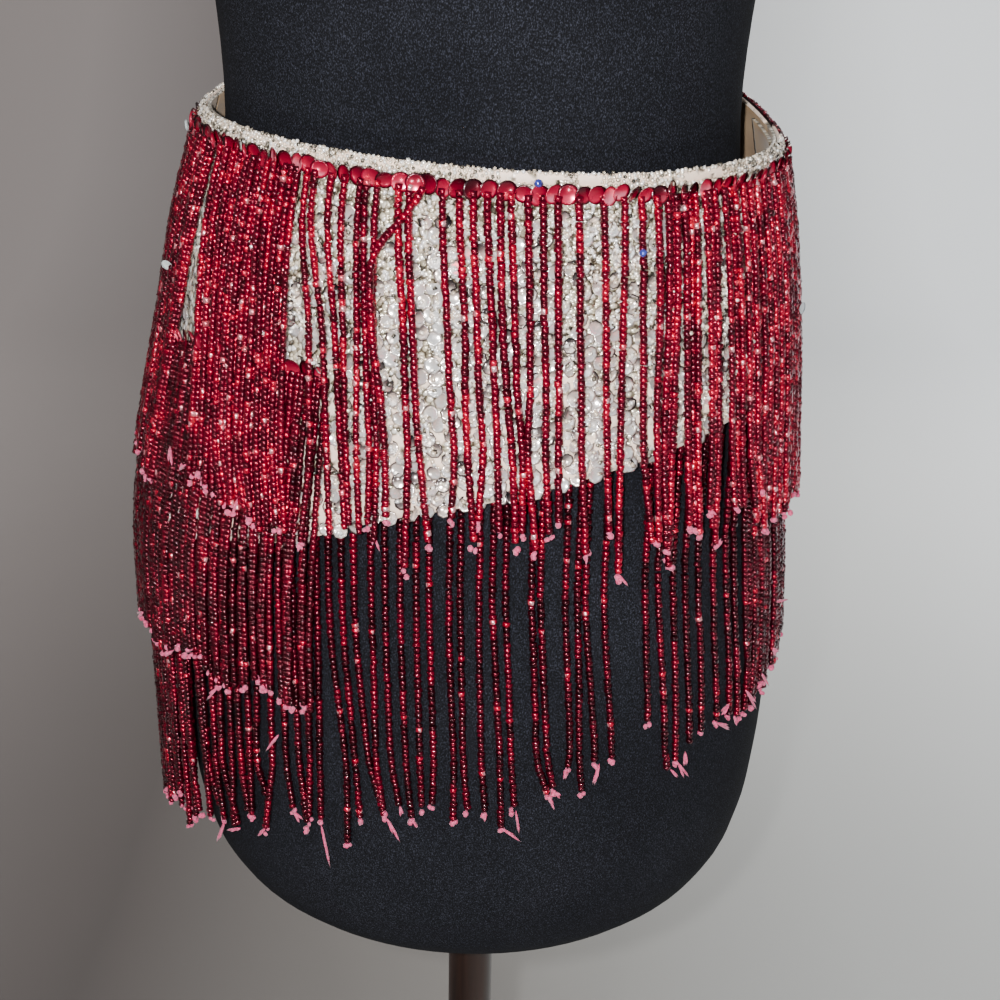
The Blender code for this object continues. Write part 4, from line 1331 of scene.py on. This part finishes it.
def trim(satin, clear, ruby, silver, film, red_film, blue):
    """Bands, sequin rows, the beading of the panels and a few stray pieces"""
    draw = np.random.default_rng(SEED + 1)
    front, back = FRONT_TURNS, BACK_TURNS
    rolled_band("band_core_front", *front, "cloth", satin, ("band_front",))
    rolled_band("band_core_back", back[0], RED_BAND_LAST, "cloth", red_film, ("band_back",))
    rolled_band("band_core_left_back", RED_BAND_LAST, back[1], "cloth", satin, ())
    edge_piping("back_piping", back[0] + 2, RED_BAND_LAST, "cloth", satin)
    band_beads("band_beads_front", front[0], RED_BAND_FIRST, "clear_beads", clear, BARE_BAND, draw)
    band_beads("band_beads_closure", RED_BAND_FIRST, front[1], "red_beads", ruby, (), draw)
    band_beads("band_beads_back", back[0], RED_BAND_LAST, "red_beads", ruby, (), draw)
    band_beads("band_beads_left_back", RED_BAND_LAST, back[1], "clear_beads", clear, (), draw)
    sequin_row("ruby_sequins_front", *front, sequins_under_band, CLOTH + 3.8 * MM, 0.60, red_film, draw)
    sequin_row("ruby_sequins_back", *back, sequins_under_band, CLOTH + 3.8 * MM, 0.60, red_film, draw)
    sequin_row("ruby_sequins_second", LEFT_SEAM, SECOND_ROW_END, second_row, CLOTH + 2.8 * MM, 0.72, red_film,
               draw)
    panel_beading(clear, silver, draw)
    stray_pieces(film, blue, draw)


def wall_and_floor():
    """A wide pale floor that curves up into a wall far behind the form"""
    work = bmesh.new()
    bmesh.ops.create_grid(work, x_segments=1, y_segments=80, size=0.5)
    arc = SWEEP_BEND * math.pi / 2
    flat = SWEEP_WALL - SWEEP_BEND - SWEEP_NEAR
    for vert in work.verts:
        run = (vert.co.y + 0.5) * (flat + arc + SWEEP_TOP)
        angle = min(max(run - flat, 0.0), arc) / SWEEP_BEND
        y = SWEEP_NEAR + min(run, flat) + SWEEP_BEND * math.sin(angle)
        z = SWEEP_BEND * (1 - math.cos(angle)) + max(run - flat - arc, 0.0) - 0.5 * MM
        vert.co = (vert.co.x * SWEEP_WIDTH, y, z)
    mesh = mesh_from("studio_sweep", work)
    mesh.materials.append(backdrop_painted_light_and_shade("pale_studio_paint"))
    mesh.shade_smooth()
    sweep = bpy.data.objects.new("studio_sweep", mesh)
    bpy.context.scene.collection.objects.link(sweep)


def lamp(name, place, aim, size, power, tint):
    """A soft square light that faces a point"""
    data = bpy.data.lights.new(name, "AREA")
    data.size = size
    data.energy = power
    data.color = colour(tint)[:3]
    made = bpy.data.objects.new(name, data)
    made.visible_camera = False
    bpy.context.scene.collection.objects.link(made)
    back = unit(np.array(place) - np.array(aim))
    side = unit(np.cross((0.0, 0.0, 1.0), back))
    up = np.cross(back, side)
    turned = Matrix([[side[axis], up[axis], back[axis], place[axis]] for axis in range(3)] + [[0, 0, 0, 1]])
    made.matrix_world = turned


def lights():
    """Soft studio light, a flash beside the camera, and two low lamps that glint on the beads"""
    world = bpy.data.worlds.new("studio_air")
    bpy.context.scene.world = world
    world.use_nodes = True
    world.node_tree.nodes["Background"].inputs["Color"].default_value = colour("D8DADC")
    world.node_tree.nodes["Background"].inputs["Strength"].default_value = 0.22
    middle = (0, 0, 0.9)
    lamp("key", (-0.9, -1.7, 2.1), middle, 0.5, 9, "FFF6EC")
    lamp("fill", (0.9, -2.0, 1.5), middle, 0.9, 3.4, "F2F6FF")
    lamp("flash", (-0.024, -0.705, 1.165), middle, 0.016, 9, "FFFFFF")
    lamp("glint_left", (-0.28, -1.35, 0.50), middle, 0.10, 4.5, "FFFFFF")
    lamp("glint_right", (0.34, -1.30, 0.55), middle, 0.10, 4.5, "FFFFFF")
    lamp("backdrop_right", (2.2, 1.6, 2.6), (1.6, 4.2, 0.3), 0.8, 118, "F4F8FF")
    lamp("backdrop_left", (-2.2, 1.6, 2.6), (-1.6, 4.0, 0.3), 0.8, 48, "FFF6F0")
    lamp("rear", (0.5, 2.4, 1.9), middle, 1.2, 20, "FFFAF2")


def camera():
    """The photograph's camera"""
    right, up, forward = camera_axes()
    data = bpy.data.cameras.new("photograph")
    data.sensor_width = SENSOR
    data.lens = FOCAL * SENSOR
    data.clip_start = 0.05
    made = bpy.data.objects.new("photograph", data)
    bpy.context.scene.collection.objects.link(made)
    made.matrix_world = Matrix([[right[axis], up[axis], -forward[axis], EYE[axis]] for axis in range(3)]
                               + [[0, 0, 0, 1]])
    bpy.context.scene.camera = made


def build():
    """Make every piece, the stage, the lights and the camera"""
    satin, lining = belt_satin(), shaded_tan_lining()
    ruby, clear = ruby_glass(), clear_glass()
    form_cover(jersey_cover())
    stand(stand_metal(), cap_wood())
    made = panels(satin, lining)
    fringe(ruby, pink_thread())
    trim(satin, clear, ruby, silver_film(), clear_film(), ruby_film(), blue_glass())
    wall_and_floor()
    lights()
    camera()


build()
